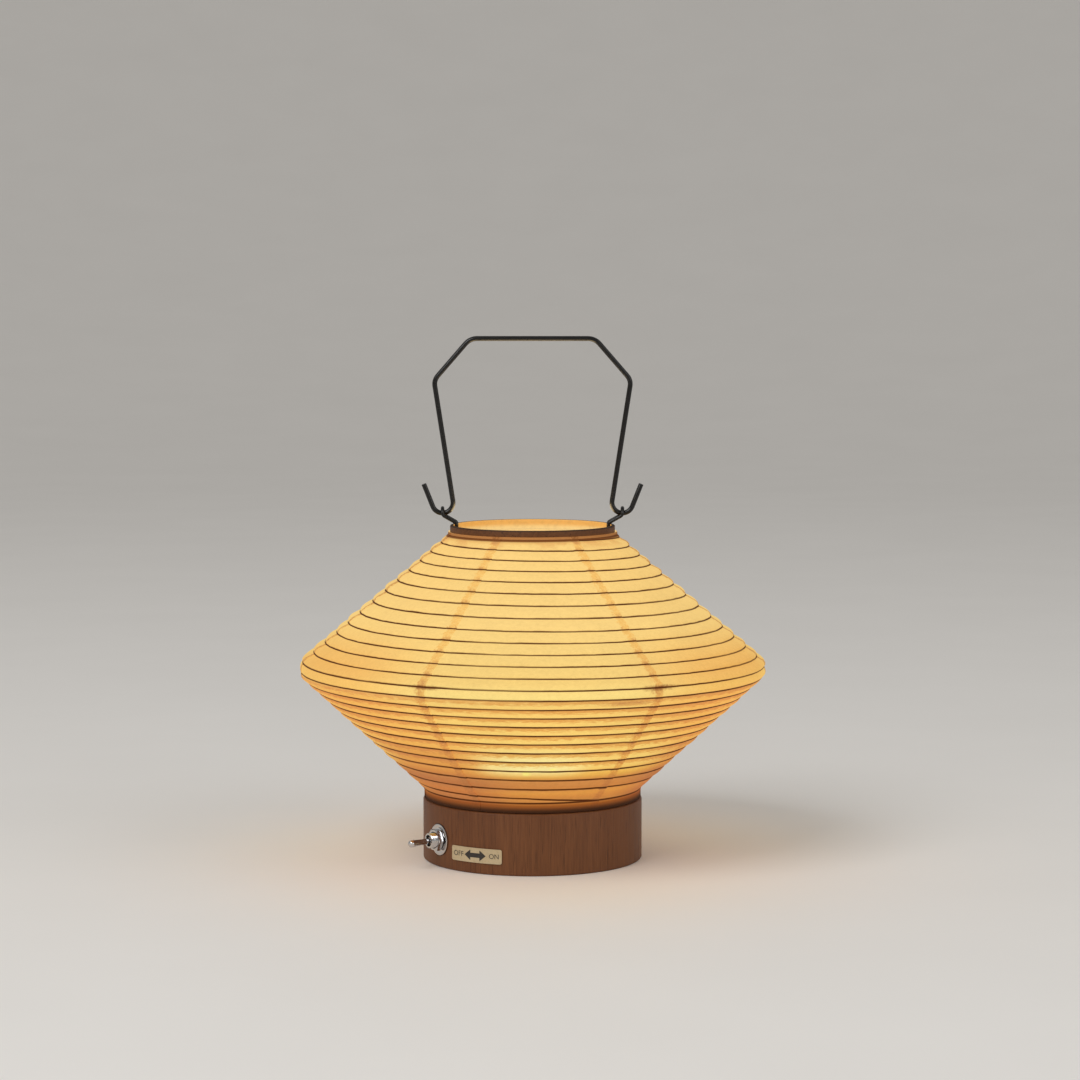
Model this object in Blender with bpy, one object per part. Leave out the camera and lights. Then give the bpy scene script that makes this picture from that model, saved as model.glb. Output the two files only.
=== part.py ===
"""Paper table lamp: a folding paper shade on spiral ribs, over a turned wooden battery base.

Metres, +Z up. The origin is the middle of the base's underside and the front is -Y.
The shade folds down towards the base, the wire bail swings, and the toggle lever flips.
"""

import math

import bmesh
import bpy
from mathutils import Matrix, Vector

MM = 0.001
FULL_TURN = 2 * math.pi

# Clearances
FIT_GAP = 0.3 * MM
PIVOT_GAP = 0.4 * MM
CUT_MARGIN = 1.0 * MM
WELD = 0.001 * MM

# Turned wooden base and its cover
BASE_RADIUS = 44.0 * MM
BASE_HEIGHT = 24.5 * MM
BASE_EDGE = 0.8 * MM
BASE_TOP_WALL = 3.5 * MM
SPIGOT_HEIGHT = 2.5 * MM
LEAD_HOLE_RADIUS = 3.0 * MM
COVER_THICKNESS = 2.4 * MM
COVER_RECESS = 0.6 * MM
COVER_LEDGE = 5.0 * MM
COVER_SCREWS = 3
SCREW_RADIUS = 1.0 * MM
SCREW_HEAD_RADIUS = 2.0 * MM
SCREW_HEAD_HEIGHT = 1.2 * MM
COVER_SCREW_BITE = 5.0 * MM

# Battery cells, their tray and contacts
CELLS = 3
CELL_RADIUS = 5.25 * MM
CELL_LENGTH = 44.5 * MM
CELL_NUB_RADIUS = 1.9 * MM
CELL_NUB_HEIGHT = 0.9 * MM
CELL_SPACING = 0.5 * MM
TRAY_WALL = 1.2 * MM
TRAY_RISE = 9.0 * MM
TRAY_SHIFT = 1.0 * MM
TRAY_CORNER_GAP = 0.5 * MM
CONTACT_THICKNESS = 0.4 * MM
CONTACT_WIDTH = 8.0 * MM
CONTACT_STANDOFF = 0.5 * MM
SPRING_HEIGHT = 3.4 * MM
SPRING_WIRE_RADIUS = 0.3 * MM
SPRING_WIDE_RADIUS = 3.2 * MM
SPRING_NARROW_RADIUS = 1.8 * MM
SPRING_TURNS = 2.5
SPRING_POINTS = 8

# Toggle switch, left of the front
SWITCH_BEARING = 57.0
SWITCH_RISE = 11.0 * MM
SWITCH_WALL = 3.6 * MM
SWITCH_BODY_DEPTH = 9.5 * MM
SWITCH_BODY_WIDTH = 13.0 * MM
SWITCH_BODY_HEIGHT = 8.0 * MM
BUSHING_RADIUS = 3.0 * MM
BUSHING_LENGTH = 9.0 * MM
WASHER_RADIUS = 6.2 * MM
WASHER_THICKNESS = 0.5 * MM
NUT_FLATS = 8.0 * MM
NUT_THICKNESS = 2.0 * MM
NUT_SIDES = 6
LEVER_BALL_RADIUS = 2.0 * MM
LEVER_NECK_RADIUS = 1.05 * MM
LEVER_TIP_RADIUS = 1.45 * MM
LEVER_LENGTH = 12.3 * MM
LEVER_SETBACK = 1.8 * MM
LEVER_TILT = 12.0
TERMINAL_LENGTH = 4.0 * MM
TERMINAL_WIDTH = 0.8 * MM
TERMINAL_HEIGHT = 2.0 * MM
TERMINAL_SPACING = 4.7 * MM

# Label beside the switch
LABEL_BEARING = 30.3
LABEL_WIDTH = 23.0 * MM
LABEL_HEIGHT = 5.8 * MM
LABEL_RISE = 4.5 * MM
LABEL_THICKNESS = 0.3 * MM

# Light source
PEDESTAL_RADIUS = 14.0 * MM
PEDESTAL_HEIGHT = 5.0 * MM
BOARD_RADIUS = 13.0 * MM
BOARD_THICKNESS = 1.2 * MM
LEDS = 3
LED_RADIUS = 1.9 * MM
LED_COLLAR = 0.8 * MM
LED_RING_RADIUS = 5.0 * MM
LED_BEARING = 57.0
LAMP_SCREWS = 2
LAMP_SCREW_RING_RADIUS = 10.0 * MM
LAMP_SCREW_BITE = 4.0 * MM
LAMP_SCREW_BEARING = 20.0
LEAD_RADIUS = 0.7 * MM
LEAD_CLEARANCE = 0.6 * MM
LEAD_STUB = 3.0 * MM
LEAD_OFFSET = 1.4 * MM

# Paper shade: rises are measured from the top of the base
PAPER_THICKNESS = 0.4 * MM
PANELS = 6
SEAM_OFFSET = 3.0
SEAM_GAP = 0.3 * MM
COLLAR_INSET = 0.6 * MM
COLLAR_HEIGHT = 4.0 * MM
BOTTOM_HOOP_THICKNESS = 1.8 * MM
BELT_RADIUS = 93.0 * MM
LOWER_BELT_RISE = 50.3 * MM
BELT_SPACING = 4.9 * MM
BELT_WIRE_RADIUS = 0.7 * MM
BELT_WIRE_SIDES = 6
TOP_HOOP_RISE = 105.8 * MM
TOP_HOOP_HEIGHT = 3.8 * MM
TOP_HOOP_RADIUS = 33.0 * MM
TOP_HOOP_THICKNESS = 1.6 * MM
TOP_HOOP_EDGE = 0.4 * MM
PAPER_LAP = 1.3 * MM
RIB_RADIUS = 0.45 * MM
UPPER_RIB_TURNS = 12
LOWER_RIB_TURNS = 11
RIB_HOOP_ROOM = 1.3 * MM
RIB_BELT_ROOM = 4.2 * MM
RIB_POINTS = 24
RIB_BEARING = -33.0

# Wire bail and the two eyelets that it hooks into
BAIL_WIRE_RADIUS = 1.0 * MM
PIVOT_RISE = 4.7 * MM
HOOK_REACH = 36.0 * MM
HOOK_BEND = 4.2 * MM
HOOK_TIP_REACH = 43.5 * MM
HOOK_TIP_RISE = 11.7 * MM
SHOULDER_REACH = 39.3 * MM
SHOULDER_RISE = 53.1 * MM
SHOULDER_BEND = 5.0 * MM
GRIP_REACH = 24.9 * MM
GRIP_RISE = 69.7 * MM
GRIP_BEND = 6.0 * MM
EYELET_WIRE_RADIUS = 0.7 * MM
EYELET_FOOT = 3.0 * MM
EYELET_LEAN_RISE = 0.8 * MM
EYELET_SIDE_GAP = 0.9 * MM

# How finely round pieces are divided
BASE_STEPS = 48
SHADE_STEPS = 48
LIGHT_STEPS = 32
SMALL_STEPS = 16
SCREW_STEPS = 10
BEND_STEPS = 6
HOOK_STEPS = 10
SMOOTH_ANGLE = math.radians(35)

# Places that follow from the sizes above
COVER_TOP = COVER_RECESS + COVER_THICKNESS
LEDGE_HEIGHT = COVER_TOP + FIT_GAP
CELL_PITCH = 2 * CELL_RADIUS + CELL_SPACING
TRAY_HALF_DEPTH = CELLS * CELL_PITCH / 2 + TRAY_WALL
CONTACT_SEAT = CONTACT_THICKNESS + FIT_GAP
TRAY_INNER_LENGTH = CELL_LENGTH + SPRING_HEIGHT + 2 * FIT_GAP + 2 * CONTACT_SEAT
TRAY_HALF_LENGTH = TRAY_INNER_LENGTH / 2 + TRAY_WALL
TRAY_FLOOR = COVER_TOP + FIT_GAP
CONTACT_BOTTOM = TRAY_FLOOR + TRAY_WALL + FIT_GAP
CONTACT_TOP = TRAY_FLOOR + TRAY_WALL + TRAY_RISE + CONTACT_STANDOFF
CELL_HEIGHT = TRAY_FLOOR + TRAY_WALL + FIT_GAP + CELL_RADIUS
CAVITY_RADIUS = math.hypot(TRAY_HALF_DEPTH + TRAY_SHIFT, TRAY_HALF_LENGTH) + TRAY_CORNER_GAP
REBATE_RADIUS = CAVITY_RADIUS + COVER_LEDGE
COVER_SCREW_RING_RADIUS = CAVITY_RADIUS + COVER_LEDGE / 2
CEILING = BASE_HEIGHT - BASE_TOP_WALL

SPOT_RADIUS = WASHER_RADIUS + FIT_GAP
SPOT_FACE = math.sqrt(BASE_RADIUS**2 - SPOT_RADIUS**2)
POCKET_FACE = SPOT_FACE - SWITCH_WALL
BUSHING_END = POCKET_FACE + BUSHING_LENGTH
BUSHING_BORE = LEVER_BALL_RADIUS + FIT_GAP
LEVER_PIVOT = BUSHING_END - LEVER_SETBACK

SPIGOT_TOP = BASE_HEIGHT + SPIGOT_HEIGHT
PEDESTAL_BOTTOM = SPIGOT_TOP + FIT_GAP
BOARD_BOTTOM = PEDESTAL_BOTTOM + PEDESTAL_HEIGHT + FIT_GAP
BOARD_TOP = BOARD_BOTTOM + BOARD_THICKNESS

COLLAR_RADIUS = BASE_RADIUS - COLLAR_INSET
COLLAR_BOTTOM = BASE_HEIGHT + FIT_GAP
COLLAR_TOP = COLLAR_BOTTOM + COLLAR_HEIGHT
BOTTOM_HOOP_RADIUS = COLLAR_RADIUS - PAPER_THICKNESS - FIT_GAP
SPIGOT_RADIUS = BOTTOM_HOOP_RADIUS - BOTTOM_HOOP_THICKNESS - FIT_GAP
LOWER_BELT = BASE_HEIGHT + LOWER_BELT_RISE
UPPER_BELT = LOWER_BELT + BELT_SPACING
TOP_HOOP_BOTTOM = BASE_HEIGHT + TOP_HOOP_RISE
TOP_HOOP_TOP = TOP_HOOP_BOTTOM + TOP_HOOP_HEIGHT
LAP_RADIUS = TOP_HOOP_RADIUS + FIT_GAP + PAPER_THICKNESS
PIVOT_HEIGHT = TOP_HOOP_TOP + PIVOT_RISE


def bearing(degrees_left):
    """Angle about Z of the direction that lies so many degrees left of the front."""
    return math.radians(270.0 - degrees_left)


def clear_scene():
    for item in list(bpy.data.objects):
        bpy.data.objects.remove(item, do_unlink=True)


def finish(name, colour, roughness, metallic=0.0):
    """Principled material with one colour, for a sub-part."""
    material = bpy.data.materials.new(name)
    material.use_nodes = True
    shader = material.node_tree.nodes["Principled BSDF"]
    shader.inputs["Base Color"].default_value = (*colour, 1.0)
    shader.inputs["Roughness"].default_value = roughness
    shader.inputs["Metallic"].default_value = metallic
    return material


def link(item, parent=None):
    bpy.context.scene.collection.objects.link(item)
    item.parent = parent
    return item


def from_shape(name, shape, material, parent=None):
    """Object from an edited mesh: faces point out, round faces are smooth."""
    bmesh.ops.recalc_face_normals(shape, faces=shape.faces)
    mesh = bpy.data.meshes.new(name)
    shape.to_mesh(mesh)
    shape.free()
    mesh.shade_smooth()
    mesh.set_sharp_from_angle(angle=SMOOTH_ANGLE)
    if material is not None:
        mesh.materials.append(material)
    return link(bpy.data.objects.new(name, mesh), parent)


def turned(name, outline, material, steps, parent=None, start=0.0, sweep=FULL_TURN):
    """Solid turned about Z from an outline of (radius, height) points; part of a turn gets end caps."""
    shape = bmesh.new()
    corners = [shape.verts.new((r * math.cos(start), r * math.sin(start), z)) for r, z in outline]
    edges = []
    for here, after in zip(corners, corners[1:] + corners[:1]):
        on_axis = max(here.co.xy.length, after.co.xy.length) < WELD
        if not on_axis:
            edges.append(shape.edges.new((here, after)))
    whole = sweep >= FULL_TURN
    spun = bmesh.ops.spin(
        shape, geom=corners + edges, cent=(0, 0, 0), axis=(0, 0, 1),
        angle=sweep, steps=steps, use_merge=whole,
    )
    if not whole:
        last = [part for part in spun["geom_last"] if isinstance(part, bmesh.types.BMEdge)]
        bmesh.ops.contextual_create(shape, geom=edges)
        bmesh.ops.contextual_create(shape, geom=last)
    bmesh.ops.remove_doubles(shape, verts=shape.verts, dist=WELD)
    middles = [vert for vert in shape.verts if vert.co.xy.length < WELD]
    flat_middles = [
        vert for vert in middles
        if all(abs(edge.other_vert(vert).co.z - vert.co.z) < WELD for edge in vert.link_edges)
    ]
    bmesh.ops.dissolve_verts(shape, verts=flat_middles)
    return from_shape(name, shape, material, parent)


def block(name, size, centre, material, parent=None):
    """Rectangular solid of a given size about a centre."""
    shape = bmesh.new()
    bmesh.ops.create_cube(shape, size=1.0)
    bmesh.ops.scale(shape, vec=size, verts=shape.verts)
    bmesh.ops.translate(shape, vec=centre, verts=shape.verts)
    return from_shape(name, shape, material, parent)


def tube(name, points, radius, material, parent=None, resolution=2):
    """Round wire along a list of points, with closed ends."""
    curve = bpy.data.curves.new(name, "CURVE")
    curve.dimensions = "3D"
    curve.bevel_depth = radius
    curve.bevel_resolution = resolution
    curve.use_fill_caps = True
    spline = curve.splines.new("POLY")
    spline.points.add(len(points) - 1)
    for knot, point in zip(spline.points, points):
        knot.co = (*point, 1.0)
    spline.use_smooth = True
    curve.materials.append(material)
    return link(bpy.data.objects.new(name, curve), parent)


def cut(target, cutter):
    """Cuts a hidden solid out of an object."""
    cutter.hide_render = True
    cutter.display_type = "WIRE"
    change = target.modifiers.new(cutter.name, "BOOLEAN")
    change.operation = "DIFFERENCE"
    change.solver = "EXACT"
    change.object = cutter


def cylinder_outline(radius, low, high):
    return [(0.0, low), (radius, low), (radius, high), (0.0, high)]


def ring_outline(inner, outer, low, high):
    return [(inner, low), (outer, low), (outer, high), (inner, high)]


def wire_outline(centre_radius, height, wire_radius, sides):
    """Outline of a round wire's section."""
    angles = [FULL_TURN * side / sides for side in range(sides)]
    return [(centre_radius + wire_radius * math.cos(a), height + wire_radius * math.sin(a)) for a in angles]


def along_x(item):
    """Turns a solid that was made about Z so that it runs along X."""
    item.rotation_euler = (0.0, math.pi / 2, 0.0)
    return item


def screw_outline(length, grow=0.0):
    """Pan head below the origin and shank above it, grown by a clearance."""
    return [
        (0.0, -SCREW_HEAD_HEIGHT - grow),
        (SCREW_HEAD_RADIUS + grow, -SCREW_HEAD_HEIGHT - grow),
        (SCREW_HEAD_RADIUS + grow, grow),
        (SCREW_RADIUS + grow, grow),
        (SCREW_RADIUS + grow, length + grow),
        (0.0, length + grow),
    ]


def round_bend(before, corner, after, radius, steps):
    """Points of an arc of a given radius that replaces the corner of a bent wire."""
    before, corner, after = Vector(before), Vector(corner), Vector(after)
    inward = (before - corner).normalized()
    outward = (after - corner).normalized()
    half = inward.angle(outward) / 2
    centre = corner + (inward + outward).normalized() * radius / math.sin(half)
    first = corner + inward * radius / math.tan(half) - centre
    axis = (-inward).cross(outward).normalized()
    turn = math.pi - 2 * half
    return [centre + Matrix.Rotation(turn * step / steps, 3, axis) @ first for step in range(steps + 1)]


def smooth_route(knots, spacing):
    """Points on a smooth curve through the knots, for a soft lead."""
    knots = [Vector(knot) for knot in knots]
    padded = [2 * knots[0] - knots[1]] + knots + [2 * knots[-1] - knots[-2]]
    points = []
    for a, b, c, d in zip(padded, padded[1:], padded[2:], padded[3:]):
        count = max(1, round((c - b).length / spacing))
        for step in range(count):
            t = step / count
            square = (2 * a - 5 * b + 4 * c - d) * t**2
            cube = (3 * b - a - 3 * c + d) * t**3
            points.append((2 * b + (c - a) * t + square + cube) / 2)
    return points + [knots[-1]]


def inset(profile, distance):
    """Profile of (radius, height) points, listed from top to bottom, moved towards the axis."""
    points = [Vector(point) for point in profile]
    moved = []
    for index, point in enumerate(points):
        normals = []
        for a, b in zip(points[max(index - 1, 0):index + 2], points[max(index, 1):index + 2]):
            run = (b - a).normalized()
            normals.append(Vector((run.y, -run.x)))
        mean = sum(normals, Vector((0.0, 0.0))).normalized()
        moved.append(point + mean * distance / mean.dot(normals[0]))
    return moved


def least_gap(points, radius, per_turn):
    """Least clear distance between stretches of a wound wire that lie half a turn or more apart."""
    apart = round(per_turn / 2)
    least = min(
        (points[i] - points[j]).length for i in range(len(points)) for j in range(i + apart, len(points))
    )
    return least - 2 * radius


def build_base(wood, cover_finish, steel):
    outline = [
        (REBATE_RADIUS, 0.0),
        (BASE_RADIUS - BASE_EDGE, 0.0),
        (BASE_RADIUS, BASE_EDGE),
        (BASE_RADIUS, BASE_HEIGHT - BASE_EDGE),
        (BASE_RADIUS - BASE_EDGE, BASE_HEIGHT),
        (SPIGOT_RADIUS, BASE_HEIGHT),
        (SPIGOT_RADIUS, SPIGOT_TOP),
        (LEAD_HOLE_RADIUS, SPIGOT_TOP),
        (LEAD_HOLE_RADIUS, CEILING),
        (CAVITY_RADIUS, CEILING),
        (CAVITY_RADIUS, LEDGE_HEIGHT),
        (REBATE_RADIUS, LEDGE_HEIGHT),
    ]
    base = turned("base_body", outline, wood, BASE_STEPS)
    cover_outline = cylinder_outline(REBATE_RADIUS - FIT_GAP, COVER_RECESS, COVER_TOP)
    cover = turned("bottom_cover", cover_outline, cover_finish, BASE_STEPS)
    length = COVER_THICKNESS - SCREW_HEAD_HEIGHT + COVER_SCREW_BITE
    for number in range(COVER_SCREWS):
        angle = bearing(SWITCH_BEARING) + FULL_TURN * (number + 0.5) / COVER_SCREWS
        place = (
            COVER_SCREW_RING_RADIUS * math.cos(angle),
            COVER_SCREW_RING_RADIUS * math.sin(angle),
            COVER_RECESS + SCREW_HEAD_HEIGHT,
        )
        screw = turned(f"cover_screw_{number + 1}", screw_outline(length), steel, SCREW_STEPS)
        hole = turned(f"cover_screw_hole_{number + 1}", screw_outline(length, FIT_GAP), None, SCREW_STEPS)
        screw.location = place
        hole.location = place
        cut(cover, hole)
        cut(base, hole)
    return base


def build_switch(base, frame, plastic, chrome, brass):
    """Panel toggle whose axis runs along the frame's X, through the wall of the base."""
    seat_outline = cylinder_outline(SPOT_RADIUS, SPOT_FACE, BUSHING_END)
    seat = turned("switch_seat", seat_outline, None, SMALL_STEPS, frame)
    bore_radius = BUSHING_RADIUS + FIT_GAP
    bore_outline = cylinder_outline(bore_radius, POCKET_FACE - CUT_MARGIN, BUSHING_END)
    bore = turned("switch_hole", bore_outline, None, SMALL_STEPS, frame)
    for cutter in (seat, bore):
        along_x(cutter)
        cutter.location.z = SWITCH_RISE
        cut(base, cutter)
    body_back = POCKET_FACE - FIT_GAP - SWITCH_BODY_DEPTH
    pocket_width = SWITCH_BODY_WIDTH + 2 * FIT_GAP
    cavity_side = math.sqrt(CAVITY_RADIUS**2 - (pocket_width / 2)**2)
    pocket_back = min(body_back, cavity_side) - CUT_MARGIN
    pocket_size = (POCKET_FACE - pocket_back, pocket_width, SWITCH_BODY_HEIGHT + 2 * FIT_GAP)
    pocket_centre = ((POCKET_FACE + pocket_back) / 2, 0.0, SWITCH_RISE)
    cut(base, block("switch_pocket", pocket_size, pocket_centre, None, frame))

    body_size = (SWITCH_BODY_DEPTH, SWITCH_BODY_WIDTH, SWITCH_BODY_HEIGHT)
    body_centre = (body_back + SWITCH_BODY_DEPTH / 2, 0.0, SWITCH_RISE)
    block("switch_body", body_size, body_centre, plastic, frame)
    terminal_size = (TERMINAL_LENGTH, TERMINAL_WIDTH, TERMINAL_HEIGHT)
    for number, side in enumerate((1, -1)):
        centre = (body_back - FIT_GAP - TERMINAL_LENGTH / 2, side * TERMINAL_SPACING / 2, SWITCH_RISE)
        block(f"switch_terminal_{number + 1}", terminal_size, centre, brass, frame)

    washer_low = SPOT_FACE + FIT_GAP
    nut_low = washer_low + WASHER_THICKNESS + FIT_GAP
    washer = ring_outline(bore_radius, WASHER_RADIUS, washer_low, washer_low + WASHER_THICKNESS)
    nut_corner = NUT_FLATS / 2 / math.cos(math.pi / NUT_SIDES)
    nut = ring_outline(bore_radius, nut_corner, nut_low, nut_low + NUT_THICKNESS)
    bushing = ring_outline(BUSHING_BORE, BUSHING_RADIUS, POCKET_FACE, BUSHING_END)
    turned_parts = [
        turned("switch_washer", washer, chrome, SMALL_STEPS, frame),
        build_nut(nut, chrome, frame),
        turned("switch_bushing", bushing, chrome, SMALL_STEPS, frame),
    ]
    for part in turned_parts:
        along_x(part)
        part.location.z = SWITCH_RISE

    tip_start = LEVER_LENGTH - LEVER_TIP_RADIUS
    neck = math.sqrt(LEVER_BALL_RADIUS**2 - LEVER_NECK_RADIUS**2)
    ball_end = math.atan2(LEVER_NECK_RADIUS, neck)
    ball = [math.pi + (ball_end - math.pi) * step / BEND_STEPS for step in range(BEND_STEPS + 1)]
    tip = [math.pi / 2 * (1 - step / BEND_STEPS) for step in range(BEND_STEPS + 1)]
    outline = [(LEVER_BALL_RADIUS * math.sin(a), LEVER_BALL_RADIUS * math.cos(a)) for a in ball]
    outline += [(LEVER_TIP_RADIUS * math.sin(a), tip_start + LEVER_TIP_RADIUS * math.cos(a)) for a in tip]
    pivot = bpy.data.objects.new("lever_pivot", None)
    link(pivot, frame)
    pivot.location = (LEVER_PIVOT, 0.0, SWITCH_RISE)
    pivot.rotation_euler.z = math.radians(LEVER_TILT)
    along_x(turned("switch_lever", outline, chrome, SMALL_STEPS, pivot))


def build_nut(outline, material, parent):
    """Hexagon nut: a six-sided ring with a round hole cut through it."""
    (hole, low), (corner, _), (_, high), _ = outline
    nut = turned("switch_nut", cylinder_outline(corner, low, high), material, NUT_SIDES, parent)
    drill = turned("switch_nut_hole", cylinder_outline(hole, low - CUT_MARGIN, high + CUT_MARGIN),
                   None, SMALL_STEPS, parent)
    along_x(drill)
    drill.location.z = SWITCH_RISE
    cut(nut, drill)
    return nut


def build_label(paper):
    low = BASE_RADIUS + FIT_GAP
    outline = ring_outline(low, low + LABEL_THICKNESS, LABEL_RISE, LABEL_RISE + LABEL_HEIGHT)
    sweep = LABEL_WIDTH / low
    start = bearing(LABEL_BEARING) - sweep / 2
    turned("switch_label", outline, paper, BEND_STEPS, start=start, sweep=sweep)


def build_batteries(frame, plastic, cell_finish, steel):
    """Tray on the cover with the cells in a row, every second one turned round, joined in series."""
    tray_size = (2 * TRAY_HALF_DEPTH, 2 * TRAY_HALF_LENGTH, TRAY_WALL + TRAY_RISE)
    tray_centre = Vector((-TRAY_SHIFT, 0.0, TRAY_FLOOR + tray_size[2] / 2))
    tray = block("battery_tray", tray_size, tray_centre, plastic, frame)
    hollow_size = (tray_size[0] - 2 * TRAY_WALL, TRAY_INNER_LENGTH, tray_size[2])
    hollow_centre = tray_centre + Vector((0.0, 0.0, TRAY_WALL))
    cut(tray, block("battery_tray_hollow", hollow_size, hollow_centre, None, frame))

    body_end = CELL_LENGTH - CELL_NUB_HEIGHT
    outline = [
        (0.0, 0.0),
        (CELL_RADIUS, 0.0),
        (CELL_RADIUS, body_end),
        (CELL_NUB_RADIUS, body_end),
        (CELL_NUB_RADIUS, CELL_LENGTH),
        (0.0, CELL_LENGTH),
    ]
    end = TRAY_INNER_LENGTH / 2 - CONTACT_SEAT
    rows = [-TRAY_SHIFT + CELL_PITCH * (number - (CELLS - 1) / 2) for number in range(CELLS)]
    for number, row in enumerate(rows):
        way = 1 if number % 2 == 0 else -1
        cell = turned(f"battery_cell_{number + 1}", outline, cell_finish, SMALL_STEPS, frame)
        cell.location = (row, way * (end - FIT_GAP - CELL_LENGTH), CELL_HEIGHT)
        cell.rotation_euler.x = -way * math.pi / 2
        build_spring(number, row, -way, end, frame, steel)

    contact_height = CONTACT_TOP - CONTACT_BOTTOM
    contact_centre = CONTACT_BOTTOM + contact_height / 2
    plate = end + CONTACT_THICKNESS / 2
    pair_width = CONTACT_WIDTH + CELL_PITCH
    contacts = {
        "contact_negative": (rows[0], -plate, CONTACT_WIDTH),
        "contact_bridge_1": ((rows[0] + rows[1]) / 2, plate, pair_width),
        "contact_bridge_2": ((rows[1] + rows[2]) / 2, -plate, pair_width),
        "contact_positive": (rows[2], plate, CONTACT_WIDTH),
    }
    for name, (row, side, width) in contacts.items():
        block(name, (width, CONTACT_THICKNESS, contact_height), (row, side, contact_centre), steel, frame)


def build_spring(number, row, side, end, frame, steel):
    """Tapered coil between a contact and the flat end of a cell, wound about Y."""
    room = SPRING_HEIGHT - 2 * SPRING_WIRE_RADIUS - FIT_GAP
    last = round(SPRING_TURNS * SPRING_POINTS)
    points = []
    for step in range(last + 1):
        share = step / last
        radius = SPRING_WIDE_RADIUS + (SPRING_NARROW_RADIUS - SPRING_WIDE_RADIUS) * share
        angle = FULL_TURN * step / SPRING_POINTS
        depth = end - FIT_GAP - SPRING_WIRE_RADIUS - room * share
        points.append(Vector((radius * math.cos(angle), side * depth, radius * math.sin(angle))))
    spring = tube(f"battery_spring_{number + 1}", points, SPRING_WIRE_RADIUS, steel, frame, 1)
    spring.location = (row, 0.0, CELL_HEIGHT)
    print(f"battery_spring_{number + 1}: least gap to itself "
          f"{least_gap(points, SPRING_WIRE_RADIUS, SPRING_POINTS) / MM:.2f} mm")


def build_light(base, frame, plastic, board_finish, led_finish, steel):
    """Round board with its light emitters on a pedestal in the middle of the base."""
    pedestal_top = BOARD_BOTTOM - FIT_GAP
    pedestal_outline = ring_outline(LEAD_HOLE_RADIUS, PEDESTAL_RADIUS, PEDESTAL_BOTTOM, pedestal_top)
    pedestal = turned("light_pedestal", pedestal_outline, plastic, LIGHT_STEPS, frame)
    board_outline = cylinder_outline(BOARD_RADIUS, BOARD_BOTTOM, BOARD_TOP)
    board = turned("light_board", board_outline, board_finish, LIGHT_STEPS, frame)
    length = BOARD_TOP + FIT_GAP - SPIGOT_TOP + LAMP_SCREW_BITE
    for number in range(LAMP_SCREWS):
        angle = math.radians(LAMP_SCREW_BEARING) + FULL_TURN * number / LAMP_SCREWS
        screw = turned(f"light_screw_{number + 1}", screw_outline(length), steel, SCREW_STEPS, frame)
        hole = turned(f"light_screw_hole_{number + 1}",
                      cylinder_outline(SCREW_RADIUS + FIT_GAP, -CUT_MARGIN, length + FIT_GAP),
                      None, SCREW_STEPS, frame)
        for item in (screw, hole):
            item.location = (
                LAMP_SCREW_RING_RADIUS * math.cos(angle),
                LAMP_SCREW_RING_RADIUS * math.sin(angle),
                BOARD_TOP + FIT_GAP,
            )
            item.rotation_euler.x = math.pi
        for target in (board, pedestal, base):
            cut(target, hole)

    dome = [math.pi / 2 * (1 - step / BEND_STEPS) for step in range(BEND_STEPS + 1)]
    outline = [(0.0, 0.0), (LED_RADIUS, 0.0)]
    outline += [(LED_RADIUS * math.sin(a), LED_COLLAR + LED_RADIUS * math.cos(a)) for a in dome]
    for number in range(LEDS):
        angle = math.radians(LED_BEARING) + FULL_TURN * number / LEDS
        led = turned(f"light_emitter_{number + 1}", outline, led_finish, SMALL_STEPS, frame)
        led.location = (
            LED_RING_RADIUS * math.cos(angle),
            LED_RING_RADIUS * math.sin(angle),
            BOARD_TOP + FIT_GAP,
        )


def build_leads(frame, feed_finish, return_finish):
    """Soft leads inside the base; their points are chosen by hand along the frame's axes."""
    terminal_end = POCKET_FACE - SWITCH_BODY_DEPTH - TERMINAL_LENGTH - 3 * FIT_GAP
    contact_top = CONTACT_TOP + FIT_GAP
    contact_end = TRAY_INNER_LENGTH / 2 - CONTACT_SEAT + CONTACT_THICKNESS / 2
    first_row = -TRAY_SHIFT - CELL_PITCH * (CELLS - 1) / 2
    last_row = -TRAY_SHIFT + CELL_PITCH * (CELLS - 1) / 2
    half_spacing = TERMINAL_SPACING / 2
    board_end = BOARD_BOTTOM - FIT_GAP
    over_cells = CEILING - LEAD_RADIUS - LEAD_CLEARANCE
    over_contact = (contact_top + over_cells) / 2
    beside_cells = (SWITCH_RISE + over_cells) / 2
    in_hole = (CEILING + SPIGOT_TOP) / 2
    routes = {
        "lead_battery_to_switch": (feed_finish, [
            (last_row, contact_end, contact_top),
            (last_row, contact_end, over_contact),
            (15.0 * MM, 18.0 * MM, over_cells),
            (19.0 * MM, 8.0 * MM, beside_cells),
            (terminal_end - LEAD_STUB, half_spacing, SWITCH_RISE),
            (terminal_end, half_spacing, SWITCH_RISE),
        ]),
        "lead_switch_to_light": (feed_finish, [
            (terminal_end, -half_spacing, SWITCH_RISE),
            (terminal_end - LEAD_STUB, -half_spacing, SWITCH_RISE),
            (18.5 * MM, -2.6 * MM, beside_cells),
            (10.0 * MM, -2.0 * MM, over_cells),
            (3.0 * MM, -0.4 * MM, over_cells),
            (LEAD_OFFSET, 0.0, in_hole),
            (LEAD_OFFSET, 0.0, board_end),
        ]),
        "lead_battery_to_light": (return_finish, [
            (first_row, -contact_end, contact_top),
            (first_row, -contact_end, over_contact),
            (-12.0 * MM, -15.0 * MM, over_cells),
            (-6.5 * MM, -4.0 * MM, over_cells),
            (-3.0 * MM, -0.4 * MM, over_cells),
            (-LEAD_OFFSET, 0.0, in_hole),
            (-LEAD_OFFSET, 0.0, board_end),
        ]),
    }
    for name, (material, knots) in routes.items():
        tube(name, smooth_route(knots, 3 * LEAD_RADIUS), LEAD_RADIUS, material, frame, 1)


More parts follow.
